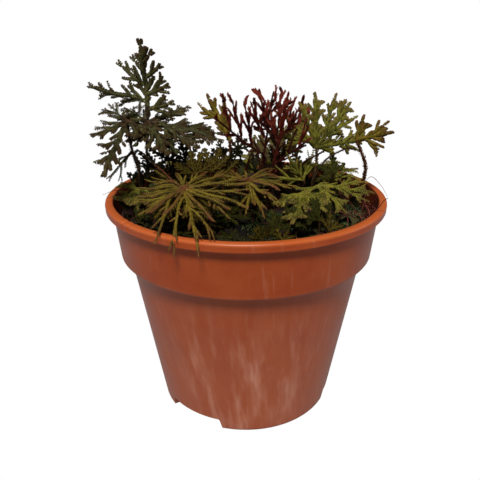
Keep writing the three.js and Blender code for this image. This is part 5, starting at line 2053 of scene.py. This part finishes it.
class Surface:
    """A material whose nodes are made and joined by short calls."""

    def __init__(self, name, roughness, specular):
        self.material = bpy.data.materials.new(name)
        self.material.use_nodes = True
        self.nodes = self.material.node_tree.nodes
        self.links = self.material.node_tree.links
        self.shader = self.nodes["Principled BSDF"]
        self.shader.inputs["Roughness"].default_value = roughness
        self.shader.inputs["Specular IOR Level"].default_value = specular

    def set(self, socket, value):
        if isinstance(value, bpy.types.NodeSocket):
            self.links.new(value, socket)
        elif isinstance(value, tuple) and len(value) == 3 and socket.type == "RGBA":
            socket.default_value = (*value, 1)
        else:
            socket.default_value = value

    def node(self, kind, inputs, **settings):
        """A new node with those settings, whose inputs are set or joined."""
        node = self.nodes.new(kind)
        for name, value in settings.items():
            setattr(node, name, value)
        for key, value in inputs.items():
            self.set(node.inputs[key], value)
        return node

    def split(self, vector):
        return tuple(self.node("ShaderNodeSeparateXYZ", {0: vector}).outputs)

    def attribute(self, name):
        """The three numbers of a stored vector."""
        return self.split(self.node("ShaderNodeAttribute", {}, attribute_name=name).outputs["Vector"])

    def place(self):
        """The point on the piece, in metres."""
        return self.node("ShaderNodeTexCoord", {}).outputs["Object"]

    def stretch(self, vector, along):
        """The vector with its height scaled, so that a texture is drawn out along it."""
        scaled = self.node("ShaderNodeVectorMath", {0: vector, 1: (1, 1, along)}, operation="MULTIPLY")
        return scaled.outputs[0]

    def twist(self, vector, angle):
        """The vector turned about the pot's axis."""
        inputs = {"Vector": vector, "Angle": angle}
        return self.node("ShaderNodeVectorRotate", inputs, rotation_type="Z_AXIS").outputs[0]

    def noise(self, vector, scale, detail=3.0, roughness=0.5):
        inputs = {"Vector": vector, "Scale": scale, "Detail": detail, "Roughness": roughness}
        return self.node("ShaderNodeTexNoise", inputs).outputs["Fac"]

    def math(self, operation, one, two=0.0):
        return self.node("ShaderNodeMath", {0: one, 1: two}, operation=operation).outputs[0]

    def add(self, one, two):
        return self.math("ADD", one, two)

    def times(self, one, two):
        return self.math("MULTIPLY", one, two)

    def ramp(self, value, low, high, out_low=0.0, out_high=1.0):
        """Maps low..high to out_low..out_high with soft ends."""
        inputs = {"Value": value, "From Min": low, "From Max": high, "To Min": out_low, "To Max": out_high}
        return self.node("ShaderNodeMapRange", inputs, interpolation_type="SMOOTHSTEP").outputs["Result"]

    def mix(self, share, one, two):
        return self.node("ShaderNodeMix", {0: share, 6: one, 7: two}, data_type="RGBA").outputs[2]

    def bump(self, height, strength, distance):
        inputs = {"Height": height, "Strength": strength, "Distance": distance}
        self.set(self.shader.inputs["Normal"], self.node("ShaderNodeBump", inputs).outputs["Normal"])

    def colour(self, value):
        self.set(self.shader.inputs["Base Color"], value)
        return self.material


def leaf_material(name, tint, painted_shade=0.0):
    """Scale leaves that go from old to young along the spray, with paler midribs, darker margins that also
    carry painted shade between the leaves, and a different underside, on brown stems."""
    surface = Surface(name, roughness=0.5, specular=0.04)
    ramp, times, mix = surface.ramp, surface.times, surface.mix
    along, across, tone = surface.attribute("leaf")
    under, woody, age = surface.attribute("growth")
    place = surface.place()
    patches = surface.noise(place, PATCH_SCALE)
    fine = surface.noise(place, SPECK_SCALE, detail=2.0)
    spots = surface.add(times(tone, 0.5), ramp(fine, 0.35, 0.65, -0.28, 0.22))
    shade = surface.add(spots, ramp(patches, 0.35, 0.65, -0.05, 0.6))
    colour = mix(shade, tint["deep"], tint["fresh"])
    colour = mix(times(ramp(along, 0.5, 0.0), tint["rib_share"]), colour, tint["rib"])
    # Darker margins and tips: partly the leaves' own darker margins, partly painted shade in the slits
    # between leaves
    margin_and_shade = surface.math("MAXIMUM", ramp(across, 0.35, 1.0), ramp(along, 0.45, 1.0))
    colour = mix(times(margin_and_shade, tint["edge_and_shade_share"]), colour, tint["edge"])
    ripe = ramp(surface.add(age, ramp(fine, 0.3, 0.7, -0.12, 0.12)), 0.3, 0.75)
    colour = mix(times(ripe, tint["tip_share"]), colour, tint["tip"])
    colour = mix(times(under, UNDER_SHARE), colour, tint["under"])
    colour = mix(woody, colour, mix(ramp(fine, 0.3, 0.7), tint["stem"], tint["stem_light"]))
    # Painted shade: undergrowth is mixed towards a near-black tint, as if it lay in shadow
    colour = mix(painted_shade, colour, PAINTED_SHADE_TINT)
    surface.bump(surface.noise(place, LEAF_GRAIN, detail=2.0), *LEAF_BUMP)
    return surface.colour(colour)


def pot_material():
    """Moulded terracotta-coloured plastic with scuffs that run down it."""
    surface = Surface("pot_plastic", roughness=0.4, specular=0.25)
    ramp, times, add, mix = surface.ramp, surface.times, surface.add, surface.mix
    place = surface.place()
    side, depth, height = surface.split(place)
    slanted = surface.twist(place, times(height, STREAK_TWIST))
    broad, thin, wide = (surface.stretch(slanted, draw) for draw in STREAK_DRAWS)
    broad_scale, thin_scale, wide_scale = STREAK_SCALES
    streaks = surface.noise(broad, broad_scale, roughness=0.6)
    thin_streaks = surface.noise(thin, thin_scale, detail=2.0)
    patches = surface.noise(wide, wide_scale, detail=2.0)
    mottle = surface.noise(place, MOTTLE_SCALE, detail=4.0, roughness=0.6)

    # Chalky streaks, strongest low on the front, under an even veil, with a few thin lines
    front = ramp(times(depth, -1.0), *SCUFF_FRONT)
    worn = surface.math("MAXIMUM", front, ramp(patches, 0.5, 0.66, 0.0, 0.6))
    cloud = times(ramp(streaks, 0.38, 0.75), worn)
    cloud = times(cloud, ramp(thin_streaks, 0.35, 0.6, 0.45, 1.1))
    scuff = times(cloud, add(times(ramp(height, *SCUFF_LOW), 0.4), 0.06))
    scuff = times(add(scuff, ramp(height, *VEIL_LOW, 0.035, 0.09)), ramp(height, *SCUFF_TOP))
    lines = times(ramp(thin_streaks, 0.6, 0.74), ramp(patches, 0.45, 0.6, 0.0, 0.1))
    scuff = surface.math("MINIMUM", add(scuff, lines), MOST_SCUFF)
    colour = mix(ramp(mottle, 0.3, 0.7), POT_DEEP, POT_BRIGHT)
    # Painted highlight: the rim's top is made lighter, as the light from above makes it
    colour = mix(ramp(height, *RIM_LIGHT_HEIGHTS, 0.0, 0.5), colour, POT_RIM_LIGHT)
    colour = mix(scuff, colour, POT_SCUFF)

    # Painted shade on the inside of the wall, which is darkened as if in shadow
    squares = add(surface.math("POWER", side, 2.0), surface.math("POWER", depth, 2.0))
    wall = add(times(height, WALL_SLOPE), WALL_MIDDLE)
    inside = times(surface.math("LESS_THAN", surface.math("SQRT", squares), wall), ramp(height, *INNER_SHADE_FOOT))
    colour = mix(times(inside, 0.8), colour, POT_INNER_SHADE)
    surface.set(surface.shader.inputs["Roughness"], ramp(add(mottle, scuff), 0.3, 1.2, 0.34, 0.6))
    surface.bump(add(surface.noise(place, POT_GRAIN), times(thin_streaks, 0.5)), *POT_BUMP)
    return surface.colour(colour)


def soil_material():
    surface = Surface("compost", roughness=0.9, specular=0.2)
    place = surface.place()
    coarse_scale, fine_scale = SOIL_SCALES
    coarse = surface.noise(place, coarse_scale, detail=4.0, roughness=0.6)
    fine = surface.noise(place, fine_scale, roughness=0.6)
    colour = surface.mix(surface.ramp(coarse, 0.35, 0.65), SOIL_DARK, SOIL_LIGHT)
    colour = surface.mix(surface.ramp(fine, 0.6, 0.75, 0.0, 0.5), colour, SOIL_FLECK)
    surface.bump(surface.add(coarse, fine), *SOIL_BUMP)
    return surface.colour(colour)


# Picture


def add_camera():
    data = bpy.data.cameras.new("camera")
    data.sensor_width = SENSOR
    data.lens = FOCAL_PIXELS / PICTURE * SENSOR
    data.shift_x = -PIXELS_RIGHT / PICTURE
    data.clip_start = NEAREST
    camera = new_object("camera", data)
    camera.location = CAMERA_PLACE
    camera.rotation_euler = ((90 - CAMERA_PITCH) * DEGREE, 0, 0)
    bpy.context.scene.camera = camera


def add_light(name, kind, place, energy, target, **settings):
    data = bpy.data.lights.new(name, kind)
    data.energy = energy
    for setting, value in settings.items():
        setattr(data, setting, value)
    lamp = new_object(name, data)
    lamp.location = place
    lamp.rotation_euler = (Vector(place) - Vector(target)).to_track_quat("Z", "Y").to_euler()


def add_lights():
    place, strength, softness = KEY_LIGHT
    add_light("key_light", "SUN", place, strength, (0, 0, 0), angle=softness * DEGREE)
    for name, (place, size, watts) in (("left_light", LEFT_LIGHT), ("right_light", RIGHT_LIGHT)):
        look = dict(shape="DISK", size=size, color=SIDE_COLOUR, specular_factor=LAMP_GLOSS)
        add_light(name, "AREA", place, watts, LAMP_TARGET, **look)


def show_to_camera(tree, light, seen, output):
    """Gives the camera one shader and all other rays another."""
    ray = tree.nodes.new("ShaderNodeLightPath")
    mix = tree.nodes.new("ShaderNodeMixShader")
    tree.links.new(ray.outputs["Is Camera Ray"], mix.inputs[0])
    tree.links.new(light.outputs[0], mix.inputs[1])
    tree.links.new(seen.outputs[0], mix.inputs[2])
    tree.links.new(mix.outputs[0], tree.nodes[output].inputs["Surface"])


def add_floor():
    mesh = bmesh.new()
    bmesh.ops.create_circle(mesh, cap_ends=True, segments=FLOOR_SIDES, radius=FLOOR_REACH)
    floor = new_object("floor", finished(mesh, "floor"))
    surface = Surface("pale_floor", roughness=0.8, specular=0.1)
    floor.data.materials.append(surface.colour(FLOOR_BOUNCE))
    seen = surface.node("ShaderNodeEmission", {"Color": WHITE})
    show_to_camera(surface.material.node_tree, surface.shader, seen, "Material Output")


def light_world():
    """Even light from all round, and a white sky for the camera."""
    world = bpy.data.worlds.new("studio")
    bpy.context.scene.world = world
    world.use_nodes = True
    light = world.node_tree.nodes["Background"]
    seen = world.node_tree.nodes.new("ShaderNodeBackground")
    for sky, strength in ((light, SKY_LIGHT), (seen, 1.0)):
        sky.inputs["Color"].default_value = WHITE
        sky.inputs["Strength"].default_value = strength
    show_to_camera(world.node_tree, light, seen, "World Output")


# Everything, from the pot to the finest roots

grow_plants()

pot_look = pot_material()
soil_look = soil_material()
leaf_looks = {kind: leaf_material(kind + "_leaf", tint) for kind, tint in TINTS.items()}
# Undergrowth looks with painted shade, darker as if under the taller sprays
shaded_low_looks = {kind: leaf_material(kind + "_shaded_low_leaf", tint, UNDERGROWTH_PAINTED_SHADES[kind]) for kind, tint in TINTS.items()}
moss_look = leaf_material("moss", MOSS_TINT)
root_look = leaf_material("roots", ROOT_TINT)

add_piece("pot_shell", drill_floor(make_pot_mesh()), pot_look, "pot_plastic", "pot")
add_piece("compost", make_soil_mesh(), soil_look, "compost", "soil")
add_piece("compost_crumbs", make_crumbs(), soil_look, "compost")
for number, plant in enumerate(PLANTS):
    kind = plant["kind"]
    mesh = dress_plant(plant, PLANT_SEED + number)
    add_piece(plant["name"] + "_leaves", mesh, leaf_looks[kind], kind + "_leaf", plant["name"])
for kind, mesh in make_undergrowth().items():
    add_piece("undergrowth_" + kind, mesh, shaded_low_looks[kind], kind + "_leaf")
add_piece("moss_leaflets", make_moss(), moss_look, "moss")
add_piece("root_threads", make_roots(), root_look, "roots")

add_camera()
add_lights()
add_floor()
light_world()
bpy.context.scene.view_settings.view_transform = "Standard"
